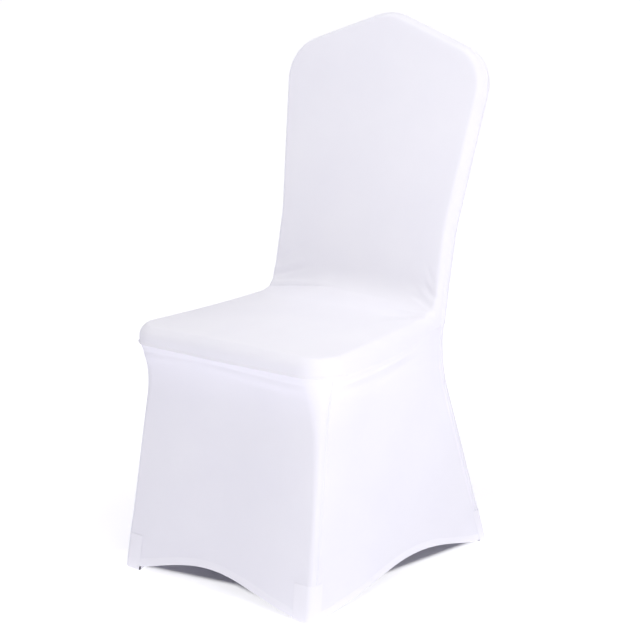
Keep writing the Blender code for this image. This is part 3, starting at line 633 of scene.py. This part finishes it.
def front_foot_line():
    """The front hem's plan, from the left seam round both legs to the right seam."""
    turn = math.pi / 2.0 * graded(COLUMNS_ON_CORNER, False)
    centre_x = FRONT_FOOT_X - FRONT_LEG_RADIUS
    straight = np.linspace(0.0, centre_x, COLUMNS_ACROSS // 2 - COLUMNS_ON_CORNER + 1)[:-1]
    x = np.concatenate([straight, centre_x + FRONT_LEG_RADIUS * np.sin(turn)])
    y = np.full_like(x, FRONT_FOOT_Y)
    y[len(straight) :] += FRONT_LEG_RADIUS * (1.0 - np.cos(turn))
    x = np.concatenate([-x[:0:-1], x])
    y = np.concatenate([y[:0:-1], y])
    share = (x + FRONT_FOOT_X) / (2.0 * FRONT_FOOT_X)
    y = y + HEM_BOW * np.sin(math.pi * share) ** HEM_BOW_POWER
    z = hem_height(1.0 - share, FRONT_ARCH, FRONT_ARCH_SKEW)
    return np.stack([x, y, z], axis=-1), share


def side_foot_line(top):
    """The right side's hem, from the front seam to the rear seam."""
    lengths = path_lengths(top)
    share = lengths / lengths[-1]
    y = between(FRONT_FOOT_Y + FRONT_LEG_RADIUS, REAR_FOOT_Y - REAR_SEAM_SETBACK, share)
    x = FRONT_FOOT_X - HEM_BOW * np.sin(math.pi * share) ** HEM_BOW_POWER
    z = hem_height(share, SIDE_ARCH, SIDE_ARCH_SKEW)
    return np.stack([x, y, z], axis=-1), share


def mirrored(points):
    return points * np.array([-1.0, 1.0, 1.0])


def outside_back_panel(outward, seam_ring, shares):
    """Grid and rolled border of the outside back, from the crown to the rear hem."""
    across = COLUMNS_ACROSS
    first = across + ROWS_SEAT
    last = first + 2 * ROWS_BACK + across
    ring = seam_ring[first : last + 1]
    corner = ring + HALF_THROUGH_BACK
    way = outward[first : last + 1]
    inward = np.stack([-way[:, 0], -way[:, 1] * LEAN_SIN, -way[:, 1] * LEAN_COS], axis=-1)
    from_joint = path_lengths(ring)
    from_joint = np.minimum(from_joint, from_joint[-1] - from_joint)
    turned = smooth_step(from_joint / JOINT_BLEND)[:, None]
    straight_in = np.sign(ring[:, :1]) * np.array([-1.0, 0.0, 0.0])
    inward = between(straight_in, inward, turned)
    inner = corner + inward * BACK_EDGE_RADIUS
    low_seam, low_corner, low_inner = rear_edges(ring[0], shares)
    inner[0], inner[-1] = low_inner[0], mirrored(low_inner[0])

    def whole(upper, lower):
        right_side = lower[:0:-1]
        return np.concatenate([right_side, upper, mirrored(right_side[::-1])])

    seam = whole(ring, low_seam)
    corner = whole(corner, low_corner)
    inner = whole(inner, low_inner)
    rows = ROWS_BACK + ROWS_SKIRT
    right = inner[: rows + 1]
    crown = inner[rows : rows + across + 1][::-1]
    left = inner[rows + across :][::-1]
    top_share = shares_in_x(crown)
    top_line = between(left[-1], right[-1], top_share)
    foot_x = between(left[0, 0], right[0, 0], np.linspace(0.0, 1.0, across + 1))
    hem = hem_height((foot_x / foot_x[-1] + 1.0) / 2.0, REAR_ARCH, REAR_ARCH_SKEW)
    grid = np.empty((rows + 1, across + 1, 3))
    for row in range(rows + 1):
        low = shares[ROWS_SKIRT - row] if row < ROWS_SKIRT else 0.0
        high = max(0.0, (row - ROWS_SKIRT) / ROWS_BACK)
        grid[row] = between(left[row], right[row], top_share) + high * (crown - top_line)
        grid[row, :, 2] += low * (hem - HEM_AT_FOOT)
    inside = grid[:, 1:-1]
    width = np.abs(inside[..., 0]) / np.maximum(np.abs(grid[:, :1, 0]), NARROWEST_HALF)
    fullness = np.clip(1.0 - width**2, 0.0, 1.0) ** 2
    height = inside[..., 2]
    swell = OUTSIDE_SWELL * smooth_step((height - OUTSIDE_SWELL_FROM_Z) / OUTSIDE_SWELL_FADE_LOW)
    swell = swell * smooth_step((PEAK_Z - height) / OUTSIDE_SWELL_FADE_HIGH)
    sink = HEM_BOW * (1.0 - smooth_step(height / HEM_BOW_REAR_END_Z)) * fullness
    inside[..., 1] = rear_y(height) + swell * fullness - sink
    lines = rolled_edge(seam, corner, inner, BACK_EDGE_RADIUS)
    return grid, lines


def pocket_corner(kind, joint, z):
    """The outer virtual corner of a right foot at a height."""
    if kind == "front":
        return between(FRONT_FOOT_X, PULL_IN_X, z / PULL_IN_Z), FRONT_FOOT_Y + FRONT_FOOT_RAKE * z
    top_z = joint[2] - LEAN_SIN * 0.5 * BACK_THICKNESS
    x = between(REAR_FOOT_X, joint[0], (z - HEM_AT_FOOT) / (top_z - HEM_AT_FOOT))
    return x, float(rear_y(z))


def pocket_outer_plan(kind, joint, z):
    """The pocket's outer line round a right foot, from the across arm to the side arm."""
    corner_x, corner_y = pocket_corner(kind, joint, z)
    radius = FRONT_LEG_RADIUS if kind == "front" else BACK_EDGE_RADIUS
    inward_y = 1.0 if kind == "front" else -1.0
    turn = np.linspace(0.0, math.pi / 2.0, POCKET_TURN_POINTS)
    across = np.linspace(POCKET_FRONT_ARM, radius, POCKET_ACROSS_POINTS + 1)[:-1]
    along = np.linspace(radius, PATCH_SIDE_ARM, POCKET_ALONG_POINTS + 1)[1:]
    outer = radius + PATCH_STEP
    p = np.concatenate([across, radius - outer * np.sin(turn), np.full_like(along, -PATCH_STEP)])
    q = np.concatenate([np.full_like(across, -PATCH_STEP), radius - outer * np.cos(turn), along])
    return np.stack([corner_x - p, corner_y + inward_y * q, np.full_like(p, z)], axis=-1)


def pocket_inner_plan(kind, joint, z):
    """The pocket's inner line, from arm to arm behind the foot."""
    corner_x, corner_y = pocket_corner(kind, joint, z)
    inward_y = 1.0 if kind == "front" else -1.0
    inside = 2.0 * CLOTH + 3.0 * POCKET_CLEARANCE
    first = np.array([POCKET_FRONT_ARM, inside])
    last = np.array([inside, PATCH_SIDE_ARM])
    middle = np.array([POCKET_FRONT_ARM, PATCH_SIDE_ARM])
    count = POCKET_ACROSS_POINTS + POCKET_TURN_POINTS + POCKET_ALONG_POINTS
    share = np.linspace(0.0, 1.0, count)[:, None]
    curve = first * (1 - share) ** 2 + middle * 2 * share * (1 - share) + last * share**2
    x = corner_x - curve[:, 0]
    y = corner_y + inward_y * curve[:, 1]
    return np.stack([x, y, np.full_like(x, z)], axis=-1)


def pocket_rows(kind, joint):
    """A foot pocket as rows: down its outer wall, across its base and up its inner wall."""
    outer = pocket_outer_plan(kind, joint, POCKET_BEND)
    inner = pocket_inner_plan(kind, joint, POCKET_BEND)
    way = unit(inner - outer)
    up = np.array([0.0, 0.0, 1.0])
    edge = POCKET_HEIGHT - np.array(PATCH_TOP_STEPS)
    wall = np.linspace(POCKET_HEIGHT - PATCH_TOP_LENGTH, POCKET_BEND, POCKET_WALL_ROWS)
    rows = [pocket_outer_plan(kind, joint, z) for z in np.concatenate([edge, wall])]
    turns = [(way * (1 - math.cos(angle)), up * math.sin(angle)) for angle in POCKET_BEND_ANGLES]
    rows += [outer + POCKET_BEND * (aside - down) for aside, down in turns]
    first, last = rows[-1], inner - POCKET_BEND * (way + up)
    rows += [between(first, last, share) for share in POCKET_BASE_SHARES]
    rows += [inner - POCKET_BEND * (aside + down) for aside, down in turns[::-1]]
    for z in np.linspace(POCKET_BEND, POCKET_INNER_HEIGHT, POCKET_INNER_ROWS):
        rows.append(pocket_inner_plan(kind, joint, z))
    return np.array(rows)


class Piece:
    """One sewn piece: the points and quads of its outer side, and its relief."""

    def __init__(self, name, points, faces, relief, from_hem=None):
        self.name = name
        self.points = np.array(points, float)
        self.faces = np.array(faces)
        self.relief = relief
        self.from_hem = np.full(len(points), FAR) if from_hem is None else from_hem

    def face_normals(self):
        corners = self.points[self.faces]
        return np.cross(corners[:, 2] - corners[:, 0], corners[:, 3] - corners[:, 1])

    def turn_towards(self, way):
        if self.face_normals().sum(axis=0) @ np.array(way) < 0.0:
            self.faces = self.faces[:, ::-1]
        return self

    def point_normals(self):
        normals = np.zeros_like(self.points)
        face_normals = self.face_normals()
        for corner in range(4):
            np.add.at(normals, self.faces[:, corner], face_normals)
        return normals

    def open_edges(self):
        """The edges that belong to one face only, in that face's order."""
        start = self.faces.reshape(-1)
        end = np.roll(self.faces, -1, axis=1).reshape(-1)
        count = len(self.points)
        lonely = ~np.isin(start * count + end, end * count + start)
        return np.stack([start[lonely], end[lonely]], axis=-1)


def hem_faces(piece):
    """For each of a thickened piece's faces, 1 if it is in the doubled hem and 0 if not."""
    in_hem = (piece.from_hem[piece.faces].mean(axis=1) < HEM_DEPTH).astype(int)
    edges = []
    for start, end in piece.open_edges():
        is_hem = int(piece.from_hem[start] < HEM_DEPTH and piece.from_hem[end] < HEM_DEPTH)
        edges += [is_hem, is_hem]
    return np.concatenate([in_hem, in_hem, np.array(edges)])


def grid_faces(rows, columns):
    first = (np.arange(rows - 1)[:, None] * columns + np.arange(columns - 1)).reshape(-1)
    return np.stack([first, first + 1, first + columns + 1, first + columns], axis=-1)


def bordered(grid, lines, closed):
    """Points and faces of a grid with lines of points round its edge.

    The points are the grid's, then each line's from the inside out.
    """
    rows, columns = grid.shape[:2]
    right = np.arange(rows) * columns + columns - 1
    top = (rows - 1) * columns + np.arange(columns)[::-1]
    left = np.arange(rows)[::-1] * columns
    border = np.concatenate([right, top[1:], left[1:]])
    if closed:
        border = np.concatenate([np.arange(columns), border[1:-1]])
    faces = [grid_faces(rows, columns)]
    count = rows * columns
    previous = border
    for line in lines[-2::-1]:
        current = np.arange(count, count + len(line))
        count += len(line)
        spans = len(current) if closed else len(current) - 1
        place = np.arange(spans)
        after = (place + 1) % len(current)
        faces.append(np.stack([previous[place], current[place], current[after], previous[after]], axis=-1))
        previous = current
    points = np.concatenate([grid.reshape(-1, 3)] + lines[-2::-1])
    return points, np.concatenate(faces)


def border_distances(grid, lines):
    """How far each point is from the seam and from the face inside the border.

    Both follow the order of bordered(). The grid's own points count as far away.
    """
    inner = np.full(grid.shape[0] * grid.shape[1], FAR)
    lengths = path_lengths(np.array(lines))
    from_face = lengths[-1] - lengths
    return np.concatenate([inner, *lengths[-2::-1]]), np.concatenate([inner, *from_face[-2::-1]])


def over_patches(points):
    """The cloth's rise above a front patch, which brings it level with the patch's top edge."""
    from_side = FRONT_FOOT_X - np.abs(points[:, 0])
    from_front = points[:, 1] - FRONT_FOOT_Y
    above = points[:, 2] - POCKET_HEIGHT
    near_corner = 1.0 - smooth_step((from_side - LEVEL_ACROSS) / LEVEL_ACROSS_FADE)
    near_front = 1.0 - smooth_step(from_front / LEVEL_BACK - 1.0)
    rise = smooth_step(above / LEVEL_EDGE) * (1.0 - smooth_step(above / LEVEL_HEIGHT))
    return PATCH_STEP * near_corner * near_front * rise


def seam_strength(points):
    """1 where a seam shows crisply, and less along the seat's sides, where the cloth is flat."""
    y = points[:, 1]
    along = smooth_step((y - SOFT_SEAM_FROM_Y) / SOFT_SEAM_FADE_FRONT)
    along = along * smooth_step((SOFT_SEAM_TO_Y - y) / SOFT_SEAM_FADE_REAR)
    return 1.0 - SOFT_SEAM_LOSS * along


def seam_ridge(distance, height):
    """A sewn seam's relief: a groove at the seam and a soft ridge beside it."""
    groove = SEAM_GROOVE * bump(distance, SEAM_GROOVE_HALF)
    return height * bump(distance - SEAM_RIDGE_PLACE, SEAM_RIDGE_HALF) - groove


def outside_patches(points):
    """0 under the foot patches, where the cloth is kept smooth, and 1 away from them."""
    corner_x = np.where(points[:, 1] < 0.0, FRONT_FOOT_X, REAR_FOOT_X)
    across = corner_x - np.abs(points[:, 0]) - POCKET_FRONT_ARM
    front_corner = FRONT_FOOT_Y + FRONT_FOOT_RAKE * points[:, 2]
    from_corner = np.minimum(points[:, 1] - front_corner, REAR_FOOT_Y - points[:, 1])
    past = np.maximum(np.maximum(across, from_corner - PATCH_SIDE_ARM), points[:, 2] - POCKET_HEIGHT)
    return smooth_step((past - PATCH_SMOOTH_FROM) / PATCH_SMOOTH_LENGTH)


def hem_relief(distance):
    """A hem turned up inside: a slight step at its top, and a line of stitches in a groove."""
    step = HEM_STEP * (1.0 - smooth_step(0.5 + (distance - HEM_DEPTH) / HEM_STEP_LENGTH))
    return step - HEM_STITCH_DEPTH * bump(distance - HEM_DEPTH + HEM_STITCH_PLACE, HEM_STITCH_HALF)


def slow_waves(points, from_seam, size=WAVES):
    """Slow waves in the cloth, worked out from where each point is."""
    waves = sum(np.sin(points @ np.array([a, b, c]) + start) for a, b, c, start in WAVE_TABLE)
    return size * waves / len(WAVE_TABLE) * smooth_step(from_seam / WAVES_FADE)


def skirt_relief(grid, creases):
    """Relief of a skirt panel, with its seams, hem and creases, and each point's way up from the hem."""
    drop = path_lengths(grid)
    from_hem = drop[-1] - drop
    across = path_lengths(grid.swapaxes(0, 1)).T
    from_end = across[:, -1:] - across
    share = across / across[:, -1:]
    strength = seam_strength(grid[0])[None, :]
    relief = -RIM_RECESS * bump(drop, RIM_RECESS_HALF) * strength
    side_seams = seam_ridge(across, SKIRT_SEAM_RIDGE) + seam_ridge(from_end, SKIRT_SEAM_RIDGE)
    relief = relief + side_seams * smooth_step((drop - SKIRT_SEAM_FROM) / SKIRT_SEAM_FADE)
    relief = relief + hem_relief(from_hem)
    length = across[:, -1].mean()
    relief = relief + crease_relief(share * length, drop, creases, length)
    points = grid.reshape(-1, 3)
    relief = relief.reshape(-1) + slow_waves(points, drop.reshape(-1))
    relief = relief * outside_patches(points) + over_patches(points)
    return relief, from_hem.reshape(-1)


def shared_normals(pieces):
    """Each point's normal on the whole skin, so that two pieces agree at a seam."""
    normals = [piece.point_normals() for piece in pieces]
    edge_points = [np.unique(piece.open_edges()) for piece in pieces]
    places = [(number, index) for number, edge in enumerate(edge_points) for index in edge]
    tree = KDTree(len(places))
    for entry, (number, index) in enumerate(places):
        tree.insert(pieces[number].points[index], entry)
    tree.balance()
    own = [normal.copy() for normal in normals]
    for number, index in places:
        found = tree.find_range(pieces[number].points[index], SAME_PLACE)
        total = sum(own[places[entry][0]][places[entry][1]] for _, entry, _ in found)
        normals[number][index] = total
    return [unit(normal) for normal in normals]


def edge_steps(piece, normals):
    """For each point of the piece's edge, the way inward along its own surface."""
    inward = {}
    for start, end in piece.open_edges():
        along = piece.points[end] - piece.points[start]
        for point in (start, end):
            inward.setdefault(point, []).append(unit(np.cross(normals[point], along)))
    found = {}
    for point, steps in inward.items():
        total = sum(steps)
        if len(steps) == 2:
            total = total / max(LEAST_EDGE_TURN, 1.0 + steps[0] @ steps[1])
        found[point] = total
    return found


def thickened(piece, normals, round_below, cloth=CLOTH):
    """The closed solid of a piece, whose edge is rounded below a height."""
    steps = edge_steps(piece, normals)
    count = len(piece.points)
    middle = {}
    extra = []
    for point, step in steps.items():
        piece.points[point] += step * 0.5 * SEAM_GAP
        reach = HEM_ROUND if piece.points[point][2] < round_below else 0.0
        middle[point] = 2 * count + len(extra)
        extra.append(piece.points[point] - normals[point] * 0.5 * cloth - step * reach)
    points = np.concatenate([piece.points, piece.points - normals * cloth, np.array(extra)])
    faces = piece.faces.tolist()
    faces += (piece.faces[:, ::-1] + count).tolist()
    for start, end in piece.open_edges().tolist():
        faces.append((end, start, middle[start], middle[end]))
        faces.append((middle[end], middle[start], start + count, end + count))
    return points, faces


def hold_point():
    """The middle of the seat's underside, from the floor up.

    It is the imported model's origin, worked out without the creases.
    """
    depth = (HOLD_Y - SEAT_FRONT_Y) / (CREASE_Y - SEAT_FRONT_Y)
    upward = soft_ramp(HOLD_Y - CREASE_Y, CREASE_SOFTNESS_MIDDLE)
    slope, rise = seat_levels(depth)
    return np.array([0.0, HOLD_Y, CREASE_Z + LEAN_COS * float(upward) + slope + rise - CLOTH])


HOLD_POINT = hold_point()
FLOOR_Z = -HOLD_POINT[2]


def put_in_scene(name, data):
    item = bpy.data.objects.new(name, data)
    bpy.context.scene.collection.objects.link(item)
    return item


def aim(item, place, target):
    """Put a lamp or a camera in its place, facing its target."""
    item.location = place
    item.rotation_euler = (Vector(target) - Vector(place)).to_track_quat("-Z", "Y").to_euler()


def new_object(name, points, faces, material):
    mesh = bpy.data.meshes.new(name)
    mesh.from_pydata((points - HOLD_POINT).tolist(), [], faces)
    mesh.update()
    mesh.shade_smooth()
    mesh.set_sharp_from_angle(angle=SHARP_ANGLE)
    mesh.materials.append(material)
    return put_in_scene(name, mesh)


def new_material(name, values):
    """A new material, its nodes and its shader, with the shader's constants set."""
    material = bpy.data.materials.new(name)
    material.use_nodes = True
    shader = material.node_tree.nodes["Principled BSDF"]
    set_inputs(shader, values)
    return material, material.node_tree, shader


def set_inputs(node, values):
    for socket, value in values.items():
        node.inputs[socket].default_value = value


def add_node(tree, kind, values=None, operation=None):
    node = tree.nodes.new(kind)
    if operation:
        node.operation = operation
    set_inputs(node, values or {})
    return node


def link_nodes(tree, *rows):
    """Link nodes, for rows of a node, its output, the next node and its input."""
    for node, output, following, socket in rows:
        tree.links.new(node.outputs[output], following.inputs[socket])


def cloth_material(name, whites, rib_scale):
    """White stretch knit: fine ribs, a soft sheen and slightly uneven colour."""
    surface = {"Roughness": 0.72, "Specular IOR Level": 0.25, "Sheen Weight": 0.22, "Sheen Roughness": 0.45}
    material, tree, shader = new_material(name, surface)
    place = add_node(tree, "ShaderNodeTexCoord")
    patches = add_node(tree, "ShaderNodeTexNoise", {"Scale": 9.0, "Detail": 3.0})
    ramp = add_node(tree, "ShaderNodeValToRGB")
    for stop, position, colour in zip(ramp.color_ramp.elements, (0.30, 0.70), reversed(whites)):
        stop.position = position
        stop.color = (*colour, 1.0)
    ribs = add_node(tree, "ShaderNodeTexWave", {"Scale": rib_scale, "Distortion": 1.2, "Detail": 1.0})
    ribs.wave_type = "BANDS"
    ribs.bands_direction = "DIAGONAL"
    grain = add_node(tree, "ShaderNodeTexNoise", {"Scale": 900.0, "Detail": 2.0})
    knit = add_node(tree, "ShaderNodeBump", {"Strength": 0.18, "Distance": 0.00025})
    fuzz = add_node(tree, "ShaderNodeBump", {"Strength": 0.12, "Distance": 0.00020})
    link_nodes(
        tree,
        (place, "Object", patches, "Vector"),
        (patches, "Fac", ramp, "Fac"),
        (ramp, "Color", shader, "Base Color"),
        (place, "Object", ribs, "Vector"),
        (place, "Object", grain, "Vector"),
        (ribs, "Fac", knit, "Height"),
        (grain, "Fac", fuzz, "Height"),
        (knit, "Normal", fuzz, "Normal"),
        (fuzz, "Normal", shader, "Normal"),
    )
    return material


def show(item, node):
    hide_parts(node)
    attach(item, "root")


def make_cover():
    cloth = cloth_material("cover_knit_look", COVER_WHITES, COVER_RIBS)
    # The hem's knit is lighter: partly the doubled cloth, partly painted light from the floor.
    hem = cloth_material("hem_knit_with_painted_light", HEM_WHITES_WITH_PAINTED_LIGHT, COVER_RIBS)
    patch = cloth_material("pocket_knit_look", PATCH_WHITES, PATCH_RIBS)

    grid, lines, outward = seat_and_back_panel()
    ring = lines[0]
    shares = graded(ROWS_SKIRT, True)
    joint = ring[COLUMNS_ACROSS + ROWS_SEAT]
    right_seam = front_seam(ring[COLUMNS_ACROSS], shares)
    rear_seam = rear_edges(joint, shares)[0]
    foot_line, foot_share = front_foot_line()
    front_top = ring[: COLUMNS_ACROSS + 1]
    front_slope = (0.0, FRONT_FOOT_RAKE)
    left_seam = mirrored(right_seam)
    front = skirt_grid(front_top, foot_line, left_seam, right_seam, shares, foot_share, front_slope)
    side_top = ring[COLUMNS_ACROSS : COLUMNS_ACROSS + ROWS_SEAT + 1]
    side_line, side_share = side_foot_line(side_top)
    side_slope = ((PULL_IN_X - FRONT_FOOT_X) / PULL_IN_Z, 0.0)
    side = skirt_grid(side_top, side_line, right_seam, rear_seam, shares, side_share, side_slope)
    rear_grid, rear_lines = outside_back_panel(outward, ring, shares)

    skin = []
    points, faces = bordered(grid, lines, True)
    from_seam, from_face = border_distances(grid, lines)
    relief = RIM_RIDGE * bump(from_seam - RIM_RIDGE_PLACE, RIM_RIDGE_HALF) * seam_strength(points)
    relief = relief + EDGE_RIDGE * bump(from_face - EDGE_RIDGE_PLACE, EDGE_RIDGE_HALF)
    relief = relief + slow_waves(points, from_seam)
    skin.append(Piece("seat_and_inside_back", points, faces, relief).turn_towards((0, 0, 1)))
    points, faces = bordered(rear_grid, rear_lines, False)
    from_seam = border_distances(rear_grid, rear_lines)[0]
    up_grid = path_lengths(rear_grid).reshape(-1)
    up_lines = []
    for line in rear_lines[-2::-1]:
        up = path_lengths(line)
        up_lines.append(np.minimum(up, up[-1] - up))
    from_hem = np.concatenate([up_grid] + up_lines)
    waves = slow_waves(points, from_seam, WAVES_OUTSIDE_BACK)
    relief = seam_ridge(from_seam, BACK_SEAM_RIDGE) + waves + hem_relief(from_hem)
    relief = relief * outside_patches(points)
    skin.append(Piece("outside_back", points, faces, relief, from_hem).turn_towards((0, 1, 0)))
    skirts = (
        ("skirt_front", front, FRONT_CREASES, (0, -1, 0)),
        ("skirt_right", side, SIDE_CREASES, (1, 0, 0)),
        ("skirt_left", mirrored(side), LEFT_CREASES, (-1, 0, 0)),
    )
    for name, panel, creases, way in skirts:
        faces = grid_faces(*panel.shape[:2])
        relief, from_hem = skirt_relief(panel, creases)
        skin.append(Piece(name, panel.reshape(-1, 3), faces, relief, from_hem).turn_towards(way))

    for piece, normals in zip(skin, shared_normals(skin)):
        piece.points = piece.points + normals * piece.relief[:, None]
        solid_points, solid_faces = thickened(piece, normals, HEM_HEIGHTS_END)
        item = new_object(piece.name + "_cloth", solid_points, solid_faces, cloth)
        # The doubled hem takes the lighter hem whites: partly its doubled cloth, partly painted light from
        # the floor below.
        item.data.materials.append(hem)
        item.data.polygons.foreach_set("material_index", hem_faces(piece))
        show(item, piece.name)

    for kind in ("front", "rear"):
        rows = pocket_rows(kind, joint)
        faces = grid_faces(*rows.shape[:2])
        right_points = rows.reshape(-1, 3)
        for side_name, points in (("right", right_points), ("left", mirrored(right_points))):
            name = "foot_pocket_" + kind + "_" + side_name
            piece = Piece(name, points, faces, np.zeros(len(points)))
            base = points[:, 2] < ON_THE_FLOOR
            if piece.point_normals()[base].sum(axis=0)[2] > 0.0:
                piece.faces = piece.faces[:, ::-1]
            normals = unit(piece.point_normals())
            normals[base] = (0.0, 0.0, -1.0)
            solid_points, solid_faces = thickened(piece, normals, math.inf, PATCH_CLOTH)
            item = new_object(name + "_cloth", solid_points, solid_faces, patch)
            show(item, name)


def set_levels(ramp, levels, green=1.0):
    """Give a colour ramp its greys, from (position, level) pairs."""
    ramp.elements.remove(ramp.elements[1])
    for number, (position, level) in enumerate(levels):
        stop = ramp.elements.new(position) if number else ramp.elements[0]
        stop.position = position
        stop.color = (level, green * level, level, 1.0)


def make_floor():
    """A pale floor whose painted glow fades it to pure white away from the cover, with a painted shadow
    where the glow stops under the cover.
    """
    mesh = bpy.data.meshes.new("floor")
    corners = ((-1, -1), (1, -1), (1, 1), (-1, 1))
    points = [(FLOOR_HALF * x, FLOOR_HALF * y, FLOOR_Z - FLOOR_GAP) for x, y in corners]
    mesh.from_pydata(points, [], [(0, 1, 2, 3)])
    floor = put_in_scene("floor", mesh)
    surface = {"Base Color": FLOOR_WHITE, "Roughness": 0.9, "Specular IOR Level": 0.0}
    # The floor's emission is painted light. The ramp below sets it by place, and where it stops inside the
    # cover's plan it paints the shadow under the cover.
    surface["Emission Strength"] = 1.0
    material, tree, shader = new_material("floor_painted_glow_and_shadow", surface)
    scale_x, scale_y = FLOOR_EDGE / FLOOR_PLAN_HALF[0], FLOOR_EDGE / FLOOR_PLAN_HALF[1]
    to_plan = {"Location": (0.0, -FLOOR_PLAN_CENTRE_Y * scale_y, 0.0), "Scale": (scale_x, scale_y, 0.0)}
    place = add_node(tree, "ShaderNodeTexCoord")
    scaled = add_node(tree, "ShaderNodeMapping", to_plan)
    size = add_node(tree, "ShaderNodeVectorMath", operation="ABSOLUTE")
    parts = add_node(tree, "ShaderNodeSeparateXYZ")
    distance = add_node(tree, "ShaderNodeMath", {2: FLOOR_CORNER_SOFTNESS}, "SMOOTH_MAX")
    lesser = add_node(tree, "ShaderNodeMath", operation="MINIMUM")
    towards_feet = add_node(tree, "ShaderNodeMath", {1: -FLOOR_CORNER_REACH}, "MULTIPLY_ADD")
    glow = add_node(tree, "ShaderNodeValToRGB")
    set_levels(glow.color_ramp, FLOOR_GLOW_AND_PAINTED_SHADOW)
    link_nodes(
        tree,
        (place, "Object", scaled, "Vector"),
        (scaled, "Vector", size, 0),
        (size, "Vector", parts, "Vector"),
        (parts, "X", distance, 0),
        (parts, "Y", distance, 1),
        (parts, "X", lesser, 0),
        (parts, "Y", lesser, 1),
        (lesser, "Value", towards_feet, 0),
        (distance, "Value", towards_feet, 2),
        (towards_feet, "Value", glow, "Fac"),
        (glow, "Color", shader, "Emission Color"),
    )
    mesh.materials.append(material)


def make_studio():
    scene = bpy.context.scene
    world = bpy.data.worlds.new("studio")
    scene.world = world
    world.use_nodes = True
    tree = world.node_tree
    background = tree.nodes["Background"]
    set_inputs(background, {"Strength": SKY_STRENGTH})
    direction = add_node(tree, "ShaderNodeTexCoord")
    parts = add_node(tree, "ShaderNodeSeparateXYZ")
    tones = add_node(tree, "ShaderNodeValToRGB")
    set_levels(tones.color_ramp, SKY_LEVELS, SKY_GREEN)
    link_nodes(
        tree,
        (direction, "Generated", parts, "Vector"),
        (parts, "Z", tones, "Fac"),
        (tones, "Color", background, "Color"),
    )
    for name, place, target, size, power, colour in LAMPS:
        lamp = bpy.data.lights.new(name, "AREA")
        lamp.shape = "DISK"
        lamp.size = size
        lamp.energy = power
        lamp.color = colour
        aim(put_in_scene(name, lamp), place, target)
    scene.view_settings.view_transform = "Standard"
    scene.view_settings.look = "None"
    scene.view_settings.exposure = 0.0


def make_camera():
    camera = bpy.data.cameras.new("photo_camera")
    camera.sensor_width = SENSOR_MM
    camera.lens = CAMERA_LENS_MM
    item = put_in_scene("photo_camera", camera)
    aim(item, CAMERA_PLACE, CAMERA_TARGET)
    bpy.context.scene.camera = item


make_cover()
make_floor()
make_studio()
make_camera()
